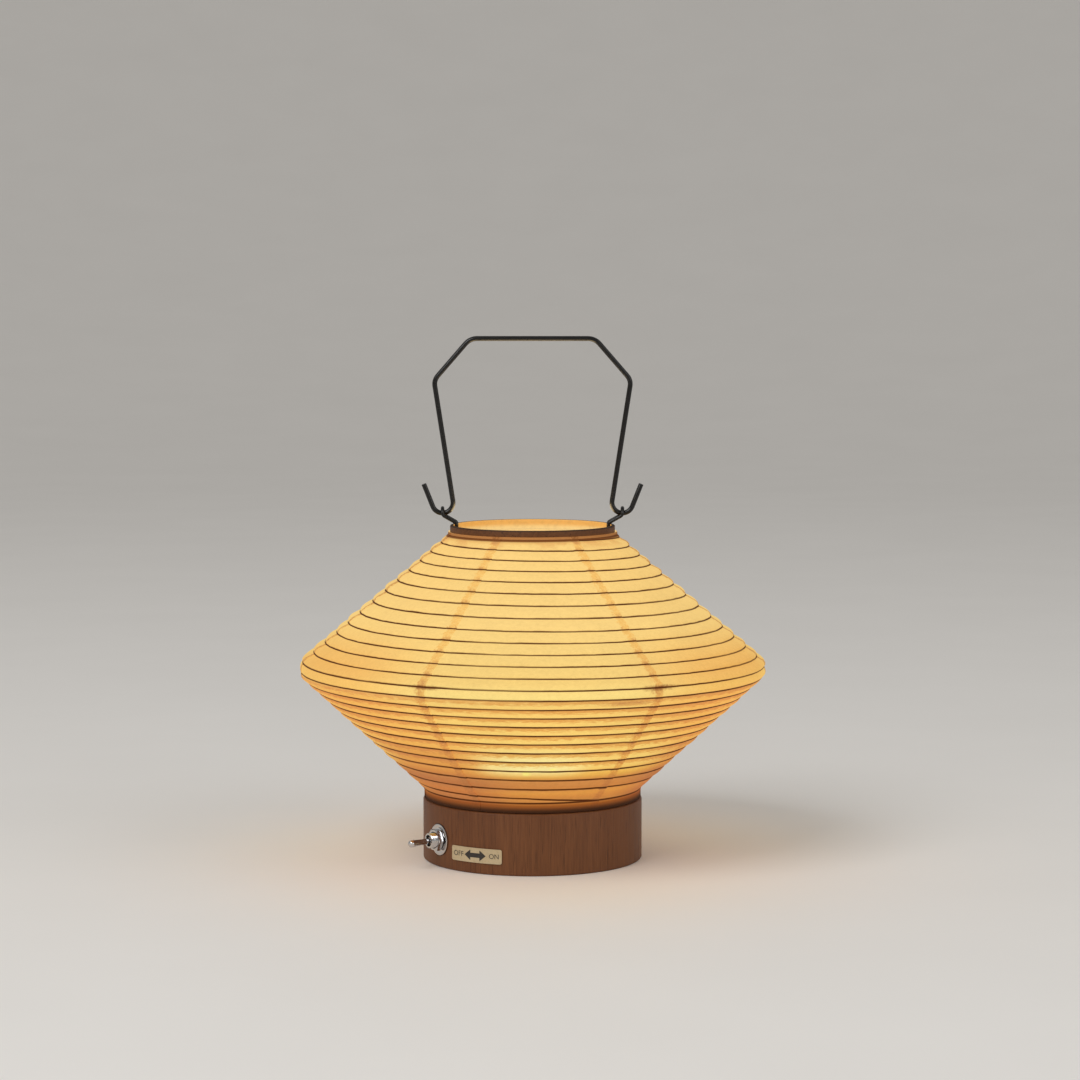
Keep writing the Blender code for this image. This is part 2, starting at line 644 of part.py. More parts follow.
def shade_profile():
    """Outer face of the paper from top to bottom: lap on the top hoop, two cones and the collar."""
    return [
        (LAP_RADIUS, TOP_HOOP_BOTTOM + PAPER_LAP),
        (LAP_RADIUS, TOP_HOOP_BOTTOM),
        (BELT_RADIUS, UPPER_BELT),
        (BELT_RADIUS, LOWER_BELT),
        (COLLAR_RADIUS, COLLAR_TOP),
        (COLLAR_RADIUS, COLLAR_BOTTOM),
    ]


def wire_lane(radius):
    """Centre line of a wire that lies along the inside of the paper, clear of the paper's facets."""
    facet = BELT_RADIUS * (1 - math.cos(math.pi / SHADE_STEPS))
    return inset(shade_profile(), PAPER_THICKNESS + FIT_GAP + radius + facet)


def build_panels(paper):
    """Six tapering paper strips, each from hoop to hoop, with their edges side by side."""
    outer = shade_profile()
    outline = outer + [tuple(point) for point in reversed(inset(outer, PAPER_THICKNESS))]
    pitch = FULL_TURN / PANELS
    gap = SEAM_GAP / TOP_HOOP_RADIUS
    steps = SHADE_STEPS // PANELS
    for number in range(PANELS):
        start = math.radians(SEAM_OFFSET) + pitch * number + gap / 2
        turned(f"paper_panel_{number + 1}", outline, paper, steps, start=start, sweep=pitch - gap)


def build_hoops(wood, bamboo):
    """Top hoop, bottom hoop and the two stiff belt hoops at the widest part."""
    inner = TOP_HOOP_RADIUS - TOP_HOOP_THICKNESS
    half = TOP_HOOP_HEIGHT / 2
    top_outline = [
        (inner, -half),
        (TOP_HOOP_RADIUS, -half),
        (TOP_HOOP_RADIUS, half - TOP_HOOP_EDGE),
        (TOP_HOOP_RADIUS - TOP_HOOP_EDGE, half),
        (inner, half),
    ]
    top = turned("top_hoop", top_outline, wood, SHADE_STEPS)
    top.location.z = TOP_HOOP_BOTTOM + half
    bottom_inner = BOTTOM_HOOP_RADIUS - BOTTOM_HOOP_THICKNESS
    bottom_outline = ring_outline(bottom_inner, BOTTOM_HOOP_RADIUS, COLLAR_BOTTOM, COLLAR_TOP)
    turned("bottom_hoop", bottom_outline, bamboo, SHADE_STEPS)
    _, _, upper_belt, lower_belt, _, _ = wire_lane(BELT_WIRE_RADIUS)
    for name, belt in (("upper_belt_hoop", upper_belt), ("lower_belt_hoop", lower_belt)):
        section = wire_outline(belt.x, 0.0, BELT_WIRE_RADIUS, BELT_WIRE_SIDES)
        hoop = turned(name, section, bamboo, SHADE_STEPS)
        hoop.location.z = belt.y
    return top


def build_rib(name, high, low, turns, bamboo):
    """Spiral rib inside one cone, from the (radius, height) of its first turn to that of its last."""
    last = round(turns * RIB_POINTS)
    points = []
    for step in range(last + 1):
        place = high.lerp(low, step / last)
        angle = bearing(RIB_BEARING) + FULL_TURN * step / RIB_POINTS
        points.append(Vector((place.x * math.cos(angle), place.x * math.sin(angle), place.y)))
    tube(name, points, RIB_RADIUS, bamboo, resolution=1)
    print(f"{name}: least gap to itself {least_gap(points, RIB_RADIUS, RIB_POINTS) / MM:.2f} mm")


def build_ribs(bamboo):
    """One spiral under each cone; each starts and ends beside a hoop."""
    _, upper_high, upper_low, lower_high, lower_low, _ = wire_lane(RIB_RADIUS)
    upper_run = (upper_low - upper_high).normalized()
    lower_run = (lower_low - lower_high).normalized()
    below_belt = BELT_WIRE_RADIUS + RIB_RADIUS + 2 * FIT_GAP
    above_collar = RIB_RADIUS + FIT_GAP + BOTTOM_HOOP_THICKNESS
    upper_ends = (upper_high + upper_run * RIB_HOOP_ROOM, upper_low - upper_run * RIB_BELT_ROOM)
    lower_ends = (lower_high + lower_run * below_belt, lower_low - lower_run * above_collar)
    build_rib("upper_rib", *upper_ends, UPPER_RIB_TURNS, bamboo)
    build_rib("lower_rib", *lower_ends, LOWER_RIB_TURNS, bamboo)


def hook_point(outside, centre, side):
    """Angle on the hook's bend at which a straight arm from an outside point touches it."""
    away = outside - centre
    return math.atan2(away.y, away.x) + side * math.acos(HOOK_BEND / away.length)


def bail_half():
    """Centre line of one half of the bail, from hook tip to the middle of the grip, about its pivot."""
    centre = Vector((HOOK_REACH, HOOK_BEND))
    tip = Vector((HOOK_TIP_REACH, HOOK_TIP_RISE))
    shoulder = Vector((SHOULDER_REACH, SHOULDER_RISE))
    first = hook_point(tip, centre, -1)
    last = hook_point(shoulder, centre, 1) - FULL_TURN
    bend = []
    for step in range(HOOK_STEPS + 1):
        angle = first + (last - first) * step / HOOK_STEPS
        bend.append(centre + HOOK_BEND * Vector((math.cos(angle), math.sin(angle))))
    grip = Vector((GRIP_REACH, GRIP_RISE))
    middle = Vector((0.0, GRIP_RISE))
    flat = [tip] + bend
    solid = [Vector((x, 0.0, z)) for x, z in flat]
    corner, top, end = (Vector((p.x, 0.0, p.y)) for p in (shoulder, grip, middle))
    solid += round_bend(solid[-1], corner, top, SHOULDER_BEND, BEND_STEPS)
    solid += round_bend(corner, top, end, GRIP_BEND, BEND_STEPS)
    return solid


def build_bail(top_hoop, black):
    """Bent wire bail that turns about X through the bottoms of its two hooks."""
    right = bail_half()
    left = [Vector((-point.x, point.y, point.z)) for point in reversed(right)]
    bail = tube("bail_handle", right + left, BAIL_WIRE_RADIUS, black, top_hoop)
    bail.location.z = PIVOT_HEIGHT - top_hoop.location.z


def build_eyelets(top_hoop, black):
    """Wire staples: feet on the inside of the top hoop, arch over the bottom of the hook."""
    arch = BAIL_WIRE_RADIUS + EYELET_WIRE_RADIUS + EYELET_SIDE_GAP
    arch_base = PIVOT_HEIGHT + BAIL_WIRE_RADIUS + PIVOT_GAP + EYELET_WIRE_RADIUS - arch
    foot = TOP_HOOP_RADIUS - TOP_HOOP_THICKNESS - FIT_GAP - EYELET_WIRE_RADIUS
    knee = HOOK_REACH - BAIL_WIRE_RADIUS - FIT_GAP
    side = [
        Vector((foot, arch, TOP_HOOP_TOP - EYELET_FOOT)),
        Vector((foot, arch, TOP_HOOP_TOP + EYELET_LEAN_RISE)),
        Vector((knee, arch, arch_base - BAIL_WIRE_RADIUS)),
        Vector((HOOK_REACH, arch, arch_base)),
    ]
    rising = [side[0]]
    rising += round_bend(side[0], side[1], side[2], EYELET_WIRE_RADIUS, BEND_STEPS // 2)
    rising += [side[2]]
    over = []
    for step in range(HOOK_STEPS + 1):
        angle = math.pi * step / HOOK_STEPS
        over.append(Vector((HOOK_REACH, arch * math.cos(angle), arch_base + arch * math.sin(angle))))
    falling = [Vector((point.x, -point.y, point.z)) for point in reversed(rising)]
    for name, way in (("eyelet_right", 1), ("eyelet_left", -1)):
        points = [Vector((way * p.x, p.y, p.z - top_hoop.location.z)) for p in rising + over + falling]
        tube(name, points, EYELET_WIRE_RADIUS, black, top_hoop)


def main():
    clear_scene()
    wood = finish("oiled_wood", (0.17, 0.085, 0.045), 0.45)
    hoop_wood = finish("stained_hoop", (0.12, 0.055, 0.025), 0.5)
    bamboo = finish("split_bamboo", (0.36, 0.22, 0.09), 0.6)
    paper = finish("mulberry_paper", (0.86, 0.74, 0.48), 0.85)
    label_paper = finish("label_paper", (0.72, 0.66, 0.50), 0.7)
    black = finish("black_wire", (0.015, 0.015, 0.016), 0.4)
    chrome = finish("switch_chrome", (0.62, 0.62, 0.63), 0.18, 1.0)
    steel = finish("zinc_steel", (0.55, 0.55, 0.55), 0.35, 1.0)
    brass = finish("terminal_brass", (0.72, 0.55, 0.25), 0.35, 1.0)
    black_plastic = finish("black_plastic", (0.02, 0.02, 0.02), 0.5)
    white_plastic = finish("white_plastic", (0.78, 0.77, 0.74), 0.5)
    board_finish = finish("white_board", (0.82, 0.82, 0.80), 0.45)
    led_finish = finish("warm_emitter", (0.95, 0.78, 0.38), 0.2)
    cell_finish = finish("plain_cell", (0.30, 0.31, 0.33), 0.35)
    cover_finish = finish("cover_board", (0.10, 0.065, 0.04), 0.7)
    red_lead = finish("red_lead", (0.45, 0.03, 0.02), 0.5)
    black_lead = finish("black_lead", (0.02, 0.02, 0.02), 0.5)

    switch_frame = bpy.data.objects.new("switch_frame", None)
    link(switch_frame)
    switch_frame.rotation_euler.z = bearing(SWITCH_BEARING)

    base = build_base(wood, cover_finish, steel)
    build_switch(base, switch_frame, black_plastic, chrome, brass)
    build_label(label_paper)
    build_batteries(switch_frame, black_plastic, cell_finish, steel)
    build_light(base, switch_frame, white_plastic, board_finish, led_finish, steel)
    build_leads(switch_frame, red_lead, black_lead)

    top_hoop = build_hoops(hoop_wood, bamboo)
    build_panels(paper)
    build_ribs(bamboo)
    build_eyelets(top_hoop, black)
    build_bail(top_hoop, black)
    bpy.context.view_layer.update()


main()
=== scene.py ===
# %% [markdown]
# A paper lamp over its CAD frame
#
# The lamp is a double cone of paper on a spiral rib, with a hoop and a wire bail on top and a turned
# wooden base with a small toggle below. The CAD model, which is loaded first, says where each piece is
# and what it moves with. Each piece that shows is then modelled again, finer, over the solid that it
# stands for.

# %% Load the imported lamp
import math
from functools import reduce

import bmesh
import bpy
from mathutils import Matrix, Vector


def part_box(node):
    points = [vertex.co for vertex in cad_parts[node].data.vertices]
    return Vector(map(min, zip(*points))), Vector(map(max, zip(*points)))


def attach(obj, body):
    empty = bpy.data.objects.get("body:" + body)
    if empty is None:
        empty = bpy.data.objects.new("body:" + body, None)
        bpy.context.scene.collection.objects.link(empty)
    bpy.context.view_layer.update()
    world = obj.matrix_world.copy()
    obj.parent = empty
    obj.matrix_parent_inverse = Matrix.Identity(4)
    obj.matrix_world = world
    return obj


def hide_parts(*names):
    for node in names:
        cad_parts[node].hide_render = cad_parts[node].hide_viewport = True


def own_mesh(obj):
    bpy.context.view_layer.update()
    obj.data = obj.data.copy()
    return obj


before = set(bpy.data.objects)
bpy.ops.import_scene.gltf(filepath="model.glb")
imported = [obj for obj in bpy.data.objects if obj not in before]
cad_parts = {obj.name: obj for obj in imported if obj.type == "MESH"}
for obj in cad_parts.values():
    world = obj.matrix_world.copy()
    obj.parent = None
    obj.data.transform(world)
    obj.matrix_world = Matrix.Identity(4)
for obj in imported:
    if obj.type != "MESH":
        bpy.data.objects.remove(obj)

MM = 0.001
FULL_TURN = 2 * math.pi
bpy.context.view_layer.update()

# %% [markdown]
# Hands on the mesh
#
# Operators work on whatever is selected, and loading leaves every CAD node selected. These helpers let
# everything go, take one piece in hand, and select parts of its mesh by their place, as a click would.


# %% Helpers for selecting
def let_go():
    """Leave edit mode and deselect everything."""
    if bpy.context.object and bpy.context.object.mode != "OBJECT":
        bpy.ops.object.mode_set(mode="OBJECT")
    bpy.ops.object.select_all(action="DESELECT")


def take(piece):
    """Select one piece alone and make it the active one."""
    let_go()
    piece.select_set(True)
    bpy.context.view_layer.objects.active = piece


def keep_as(name):
    """Name the primitive just added, and move its place into its mesh."""
    piece = bpy.context.object
    piece.name = piece.data.name = name
    bpy.ops.object.transform_apply(location=True, rotation=True, scale=True)
    return piece


def pick(piece, kind, test):
    """In edit mode, select only the vertices, edges or faces that pass a test."""
    bpy.ops.mesh.select_mode(type=kind)
    bpy.ops.mesh.select_all(action="DESELECT")
    mesh = bmesh.from_edit_mesh(piece.data)
    parts = {"VERT": mesh.verts, "EDGE": mesh.edges, "FACE": mesh.faces}[kind]
    chosen = [part for part in parts if test(part)]
    for part in chosen:
        part.select_set(True)
    bmesh.update_edit_mesh(piece.data)
    return len(chosen)


# %% Helpers for shaping
MERGE = 0.001 * MM


def open_mesh():
    """Enter edit mode with every edge selected."""
    bpy.ops.object.mode_set(mode="EDIT")
    bpy.ops.mesh.select_mode(type="EDGE")
    bpy.ops.mesh.select_all(action="SELECT")


def extrude(move):
    """Draw out what is selected by a way in metres."""
    bpy.ops.mesh.extrude_edges_move(TRANSFORM_OT_translate={"value": move})


def face_outwards():
    """Merge doubled points and turn every face outwards."""
    bpy.ops.mesh.select_all(action="SELECT")
    bpy.ops.mesh.remove_doubles(threshold=MERGE)
    bpy.ops.mesh.normals_make_consistent(inside=False)


def apply_modifiers(piece):
    take(piece)
    for modifier in list(piece.modifiers):
        bpy.ops.object.modifier_apply(modifier=modifier.name)


def thicken(piece, thickness):
    """Give a sheet its thickness in mm, to the inside."""
    solidify = piece.modifiers.new("thickness", "SOLIDIFY")
    solidify.thickness = thickness * MM
    solidify.offset = -1.0
    apply_modifiers(piece)


def cut(piece, cutter, operation="DIFFERENCE"):
    """Take a cutter out of a piece, or keep only what the two share, with a Boolean modifier."""
    boolean = piece.modifiers.new("cut", "BOOLEAN")
    boolean.operation = operation
    boolean.object = cutter
    boolean.solver = "EXACT"
    apply_modifiers(piece)
    bpy.data.objects.remove(cutter)


def place(piece, matrix):
    """Put a finished piece at a place, and move that place into its mesh."""
    piece.matrix_world = matrix
    take(piece)
    bpy.ops.object.transform_apply(location=True, rotation=True, scale=True)


def smooth(piece, degrees=35):
    take(piece)
    bpy.ops.object.shade_smooth_by_angle(angle=math.radians(degrees))
    print(f"{piece.name}: {len(piece.data.polygons)} faces")


# %% [markdown]
# A lathe
#
# The base, the hoops and most of the switch are turned shapes. A circle is extruded ring by ring along
# the outline, which keeps clean rows of quads round the axis. A spin of the outline would give the same
# shape, but leaves a seam and poles to be merged.


# %% Lathe helpers
def turn_on_lathe(name, outline, sides, solid=False):
    """Extrude a ring along an outline of (radius, height) pairs in mm, closed on itself or capped."""
    let_go()
    radius, height = outline[0]
    bpy.ops.mesh.primitive_circle_add(vertices=sides, radius=radius * MM, location=(0, 0, height * MM))
    piece = keep_as(name)
    open_mesh()
    if solid:
        bpy.ops.mesh.edge_face_add()
    rings = outline[1:] if solid else outline[1:] + outline[:1]
    for wide, high in rings:
        bpy.ops.mesh.select_mode(type="EDGE")
        extrude((0, 0, (high - height) * MM))
        grow = wide / radius
        bpy.ops.transform.resize(value=(grow, grow, 1), center_override=(0, 0, high * MM))
        radius, height = wide, high
    if solid:
        bpy.ops.mesh.edge_face_add()
    face_outwards()
    bpy.ops.object.mode_set(mode="OBJECT")
    return piece


def round_rings(piece, rings, width, segments=3):
    """Bevel the circular edges at the given (radius, height) pairs in mm."""
    take(piece)
    bpy.ops.object.mode_set(mode="EDIT")

    def on_a_ring(edge):
        for radius, height in rings:
            ring = Vector((radius, height)) * MM
            near = [(Vector((end.co.xy.length, end.co.z)) - ring).length for end in edge.verts]
            if max(near) < 0.01 * MM:
                return True
        return False

    count = pick(piece, "EDGE", on_a_ring)
    bpy.ops.mesh.bevel(offset=width * MM, segments=segments, affect="EDGES")
    bpy.ops.object.mode_set(mode="OBJECT")
    print(f"{piece.name}: {count} edges rounded")


# %% [markdown]
# Nodes by hand
#
# A finish is a small tree of shader nodes, and one tree at a time is on the bench. These helpers place
# a node in it, plug its sockets, and give the nodes that the finishes need most: sums with masks, a
# smooth step, places on the piece and mixes of colours.


# %% Helpers for shader nodes
bench = {}


def add(kind, plugs, **options):
    """Place a node; plugs name its sockets and hold a value or another node's output."""
    tree = bench["tree"]
    made = tree.nodes.new(kind)
    for option, value in options.items():
        setattr(made, option, value)
    for socket, value in plugs.items():
        if isinstance(value, bpy.types.NodeSocket):
            tree.links.new(value, made.inputs[socket])
        else:
            made.inputs[socket].default_value = value
    return made


def math_node(operation, *values):
    return add("ShaderNodeMath", dict(enumerate(values)), operation=operation).outputs[0]


def product(*values):
    """Multiply masks and numbers together."""
    return reduce(lambda first, second: math_node("MULTIPLY", first, second), values)


def most(*masks):
    """The largest of several masks."""
    return reduce(lambda first, second: math_node("MAXIMUM", first, second), masks)


def slope(value, times, plus):
    """A value times one number, plus another."""
    return math_node("MULTIPLY_ADD", value, times, plus)


def step(value, start, end, low=0.0, high=1.0):
    """A smooth step of a value, from low at start to high at end."""
    plugs = {"Value": value, "From Min": start, "From Max": end, "To Min": low, "To Max": high}
    return add("ShaderNodeMapRange", plugs, interpolation_type="SMOOTHSTEP").outputs[0]


# %% Helpers for places on a piece
def vector_math(operation, *values):
    """A sum with vectors, which gives a number for a length or a dot product and else a vector."""
    made = add("ShaderNodeVectorMath", dict(enumerate(values)), operation=operation)
    return made.outputs["Value" if operation in ("LENGTH", "DOT_PRODUCT") else "Vector"]


def coordinates():
    """Where a point lies on the piece, in metres."""
    return add("ShaderNodeTexCoord", {}).outputs["Object"]


def axis_of(vector, axis):
    """One of a vector's three numbers."""
    return add("ShaderNodeSeparateXYZ", {0: vector}).outputs[axis]


def height_of(where):
    """Height of a place in mm."""
    return product(axis_of(where, 2), 1 / MM)


def level_part(where):
    """A place without its height."""
    return vector_math("MULTIPLY", where, (1, 1, 0))


# %% Helpers for colours
WHITE = (1, 1, 1)
BLACK = (0, 0, 0)


def mix(share, first, second, blend="MIX"):
    """Mix two colours, each an output or a plain (red, green, blue)."""
    ends = [(*end, 1) if isinstance(end, tuple) else end for end in (first, second)]
    plugs = {0: share, 6: ends[0], 7: ends[1]}
    return add("ShaderNodeMix", plugs, data_type="RGBA", blend_type=blend).outputs[2]


def paint(colour, *coats):
    """Lay coats of (mask, colour) over a colour, one after another."""
    for mask, coat in coats:
        colour = mix(mask, colour, coat)
    return colour


def tint(colour, by):
    """Multiply a colour by another colour or by a mask."""
    return mix(1.0, colour, by, "MULTIPLY")


def ramp(value, stops):
    """A colour ramp with stops of (position, colour)."""
    made = add("ShaderNodeValToRGB", {0: value})
    points = made.color_ramp.elements
    while len(points) < len(stops):
        points.new(0.5)
    for point, (position, colour) in zip(points, stops):
        point.position = position
        point.color = (*colour, 1)
    return made.outputs[0]


# %% Helpers for surfaces
def new_finish(name):
    """Start a finish, and put its tree on the bench."""
    material = bpy.data.materials.new(name)
    material.use_nodes = True
    bench["tree"] = material.node_tree
    print("finish:", name)
    return material


def plug(**sockets):
    """Plug values or outputs into the surface; names are written with low dashes for spaces."""
    tree = bench["tree"]
    surface = tree.nodes["Principled BSDF"]
    for name, value in sockets.items():
        socket = surface.inputs[name.replace("_", " ").title().replace("Ior", "IOR")]
        if isinstance(value, bpy.types.NodeSocket):
            tree.links.new(value, socket)
        else:
            socket.default_value = (*value, 1) if isinstance(value, tuple) else value


def bump(height, depth, strength=1.0):
    """Relief from a height mask, with its depth in mm."""
    plugs = {"Height": height, "Distance": depth * MM, "Strength": strength}
    return add("ShaderNodeBump", plugs).outputs[0]


# %% [markdown]
# Effects that several finishes share
#
# Paper fibres, wood grain, rubbed metal and moulded skin each come up on more than one piece, so each
# is a node group with its own inputs and is placed with other values in each finish. All of them read
# Object coordinates, so the pattern stays on the piece when it moves.


# %% Node group helper
def new_group(name, inputs, outputs):
    """Start a group with float inputs {name: value} and float outputs, and put its tree on the bench."""
    group = bpy.data.node_groups.new(name, "ShaderNodeTree")
    bench["tree"] = group
    for socket, value in inputs.items():
        made = group.interface.new_socket(socket, in_out="INPUT", socket_type="NodeSocketFloat")
        made.default_value = value
    for socket in outputs:
        group.interface.new_socket(socket, in_out="OUTPUT", socket_type="NodeSocketFloat")
    print("group:", name)
    return group, group.nodes.new("NodeGroupInput").outputs, group.nodes.new("NodeGroupOutput").inputs


def use_group(group, **values):
    made = add("ShaderNodeGroup", {}, node_tree=group)
    for name, value in values.items():
        made.inputs[name.title()].default_value = value
    return made.outputs


def noise(where, scale, detail, roughness=0.5):
    plugs = {"Vector": where, "Scale": scale, "Detail": detail, "Roughness": roughness}
    return add("ShaderNodeTexNoise", plugs).outputs[0]


def stretched(where, scale, turn):
    plugs = {"Vector": where, "Scale": scale, "Rotation": turn}
    return add("ShaderNodeMapping", plugs).outputs[0]


# %% Paper fibres
fibres, start, end = new_group("paper_fibres", {"Scale": 1.0}, ["Cloud", "Fibre"])
where = vector_math("MULTIPLY", coordinates(), start["Scale"])
threads = []
for turn in ((0.3, 0.5, 0.2), (1.2, 0.2, 1.0), (0.6, 1.3, 2.1)):
    along = stretched(where, (260.0, 2200.0, 2200.0), turn)
    threads.append(step(noise(along, 1.0, 1.0), 0.60, 0.72))
fibres.links.new(noise(where, 700.0, 4.0, 0.65), end["Cloud"])
fibres.links.new(most(*threads), end["Fibre"])

# %% Wood grain
grain, start, end = new_group("wood_grain", {"Fine": 1.0, "Long": 1.0}, ["Grain", "Pores", "Broad"])
fine = product(start["Fine"], 1500.0)
length = product(start["Long"], 60.0)
squeeze = add("ShaderNodeCombineXYZ", {0: fine, 1: fine, 2: length}).outputs[0]
streaks = vector_math("MULTIPLY", coordinates(), squeeze)
pores = vector_math("MULTIPLY", streaks, (1.7, 1.7, 1.3))
broad = vector_math("MULTIPLY", streaks, (0.12, 0.12, 0.2))
grain.links.new(noise(streaks, 1.0, 3.0, 0.6), end["Grain"])
grain.links.new(step(noise(pores, 1.0, 1.0), 0.62, 0.72), end["Pores"])
grain.links.new(noise(broad, 1.0, 2.0), end["Broad"])

# %% Rubbed metal
rubbed, start, end = new_group("rubbed_metal", {"Scale": 1.0}, ["Scratch", "Bloom"])
where = vector_math("MULTIPLY", coordinates(), start["Scale"])
lines = stretched(where, (700.0, 5200.0, 5200.0), (0.4, 0.7, 0.3))
rubbed.links.new(step(noise(lines, 1.0, 2.0), 0.55, 0.75), end["Scratch"])
rubbed.links.new(noise(where, 260.0, 3.0), end["Bloom"])

# %% Moulded skin
skin, start, end = new_group("moulded_skin", {"Scale": 1.0}, ["Grit", "Cloud"])
where = vector_math("MULTIPLY", coordinates(), start["Scale"])
skin.links.new(noise(where, 4200.0, 2.0), end["Grit"])
skin.links.new(noise(where, 180.0, 2.0), end["Cloud"])

# %% [markdown]
# The studio
#
# A pale floor that sweeps up all round the lamp, a soft sky and two large area lights. A disc is made,
# and its rim is extruded outwards and upwards in small steps, so there is no edge behind the lamp from
# any side.

# %% Floor
FLOOR_RADIUS = 2.4
SWEEP_RADIUS = 4.0
SWEEP_STEPS = 11
SWEEP_ANGLE = 5
let_go()
bpy.ops.mesh.primitive_circle_add(vertices=96, radius=FLOOR_RADIUS, fill_type="NGON")
floor = keep_as("studio_floor")
open_mesh()
rim, rise = FLOOR_RADIUS, 0.0
for number in range(1, SWEEP_STEPS + 1):
    angle = math.radians(SWEEP_ANGLE * number)
    wide = FLOOR_RADIUS + SWEEP_RADIUS * math.sin(angle)
    high = SWEEP_RADIUS * (1 - math.cos(angle))
    extrude((0, 0, high - rise))
    bpy.ops.transform.resize(value=(wide / rim, wide / rim, 1), center_override=(0, 0, high))
    rim, rise = wide, high
bpy.ops.object.mode_set(mode="OBJECT")
smooth(floor, 60)
floor_finish = new_finish("pale_floor")
pale = mix(noise(coordinates(), 9.0, 3.0), (0.83, 0.81, 0.78), (0.87, 0.85, 0.82))
plug(base_color=pale, roughness=0.7)
floor.data.materials.append(floor_finish)

# %% [markdown]
# Light and view
#
# The studio light is soft and plain. The lamp also shines on itself: a warm disc of light lies in its
# mouth, faces up and rides with the top hoop, so the underside of the bail gleams. The lamp was seen
# from a little above and from far off, so the camera has a long lens and looks down by four and a half
# degrees.

# %% Sky and studio lights
SHADE_MIDDLE = Vector((0, 0, 80 * MM))
scene = bpy.context.scene
scene.view_settings.view_transform = "Standard"
scene.world = bpy.data.worlds.new("soft_sky")
scene.world.use_nodes = True
sky = scene.world.node_tree.nodes["Background"]
sky.inputs["Color"].default_value = (1.0, 0.98, 0.95, 1)
sky.inputs["Strength"].default_value = 0.42


def area_light(name, spot, size, power):
    """An area light that faces the middle of the shade."""
    let_go()
    bpy.ops.object.light_add(type="AREA", location=spot)
    light = bpy.context.object
    light.name = name
    light.data.size = size
    light.data.energy = power
    light.rotation_euler = (SHADE_MIDDLE - light.location).to_track_quat("-Z", "Y").to_euler()
    print("light:", name)
    return light


area_light("key_light", (-1.1, -1.5, 1.6), size=1.2, power=26)
area_light("fill_light", (1.6, -1.1, 1.0), size=1.4, power=9)

# %% Light in the mouth
MOUTH_LIGHT_RISE = 134.3
MOUTH_LIGHT_WIDTH = 56
mouth_light = area_light("mouth_light", (0, 0, MOUTH_LIGHT_RISE * MM), MOUTH_LIGHT_WIDTH * MM, power=0.06)
mouth_light.rotation_euler = (math.pi, 0, 0)
mouth_light.visible_camera = False
mouth_light.data.shape = "DISK"
mouth_light.data.color = (1.0, 0.78, 0.45)
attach(mouth_light, "shade_top")

# %% Camera
CAMERA_SPOT = (0.003, -1.178, 0.2215)
CAMERA_DIP = 4.54
CAMERA_LENS = 98.33
let_go()
bpy.ops.object.camera_add(location=CAMERA_SPOT, rotation=(math.radians(90 - CAMERA_DIP), 0, 0))
camera = bpy.context.object
camera.name = "view_camera"
camera.data.lens = CAMERA_LENS
camera.data.sensor_width = 36.0
scene.camera = camera
print("camera lens:", camera.data.lens)

# %% [markdown]
# Handing over a piece
#
# Every finished piece ends in the same way: it gets its finish, rides on the CAD body that it moves with,
# and hides the CAD nodes that it stands for.


# %% Putting a finish on a piece
def dress(piece, finish, slot, body, *nodes):
    """Give a piece its finish, let it ride on a body, and let it stand for CAD nodes. The slot is not
    used.
    """
    piece.data.materials.clear()
    piece.data.materials.append(finish)
    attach(piece, body)
    if nodes:
        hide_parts(*nodes)


# %% [markdown]
# The line of the shade
#
# Seen from the side the paper runs from the hoop out to the waist, down a short wall and in again to a
# collar on the base. Every point of the paper is found by its way along this line, in millimetres from
# the lower edge of the hoop. One thin rib winds down inside the paper from top to bottom in twenty-five
# turns, close together at the waist, and the paper is creased along it.

# %% Line and rib
LINE = [(33.7, 131.6), (33.7, 130.3), (93.0, 79.7), (93.0, 74.8), (43.4, 28.8), (43.4, 24.8)]
HOOP_LAP = 1.3
CORNER = 1.2
TURNS = 25
RIB_START = 303
RIB_TOP = 0.6
UPPER_TURNS = 12.9
UPPER_PITCH = 6.045
UPPER_DIP = 1.8
DIP_TURNS = 8
WAIST_START = 78.58
WAIST_PITCH = 3.72
LOWER_TURNS = 11
LOWER_PITCH = 5.93
LOWER_DIP = 1.3
RUN_OUT = 22
line_ends = [-HOOP_LAP]
for here, there in zip(LINE, LINE[1:]):
    line_ends.append(line_ends[-1] + math.dist(here, there))
print("line length in mm:", round(line_ends[-1] - line_ends[0], 1))


def on_line(along):
    """Radius and height of the shade's line, without its rounded corners."""
    piece = 0
    while piece < len(LINE) - 2 and along > line_ends[piece + 1]:
        piece += 1
    share = (along - line_ends[piece]) / (line_ends[piece + 1] - line_ends[piece])
    return Vector(LINE[piece]).lerp(Vector(LINE[piece + 1]), share)


def on_shade(along, off):
    """The same with rounded corners, moved off the line by so much, outwards."""
    before = on_line(along - CORNER)
    after = on_line(along + CORNER)
    run = (after - before).normalized()
    middle = (before + after + 2 * on_line(along)) / 4
    return middle + Vector((-run.y, run.x)) * off


def rib_along(turns):
    """How far along the line the rib has come after so many turns: upper cone, waist, lower cone."""
    if turns < UPPER_TURNS:
        dip = UPPER_DIP * math.sin(math.pi * turns / DIP_TURNS) if 0 < turns < DIP_TURNS else 0
        return RIB_TOP + UPPER_PITCH * turns - dip
    past = turns - UPPER_TURNS
    if past < 1:
        return WAIST_START + WAIST_PITCH * past
    below = past - 1
    dip = LOWER_DIP * math.sin(math.pi * min(below, LOWER_TURNS) / LOWER_TURNS)
    run_out = RUN_OUT * max(below - LOWER_TURNS, 0)
    return WAIST_START + WAIST_PITCH + LOWER_PITCH * below - dip + run_out


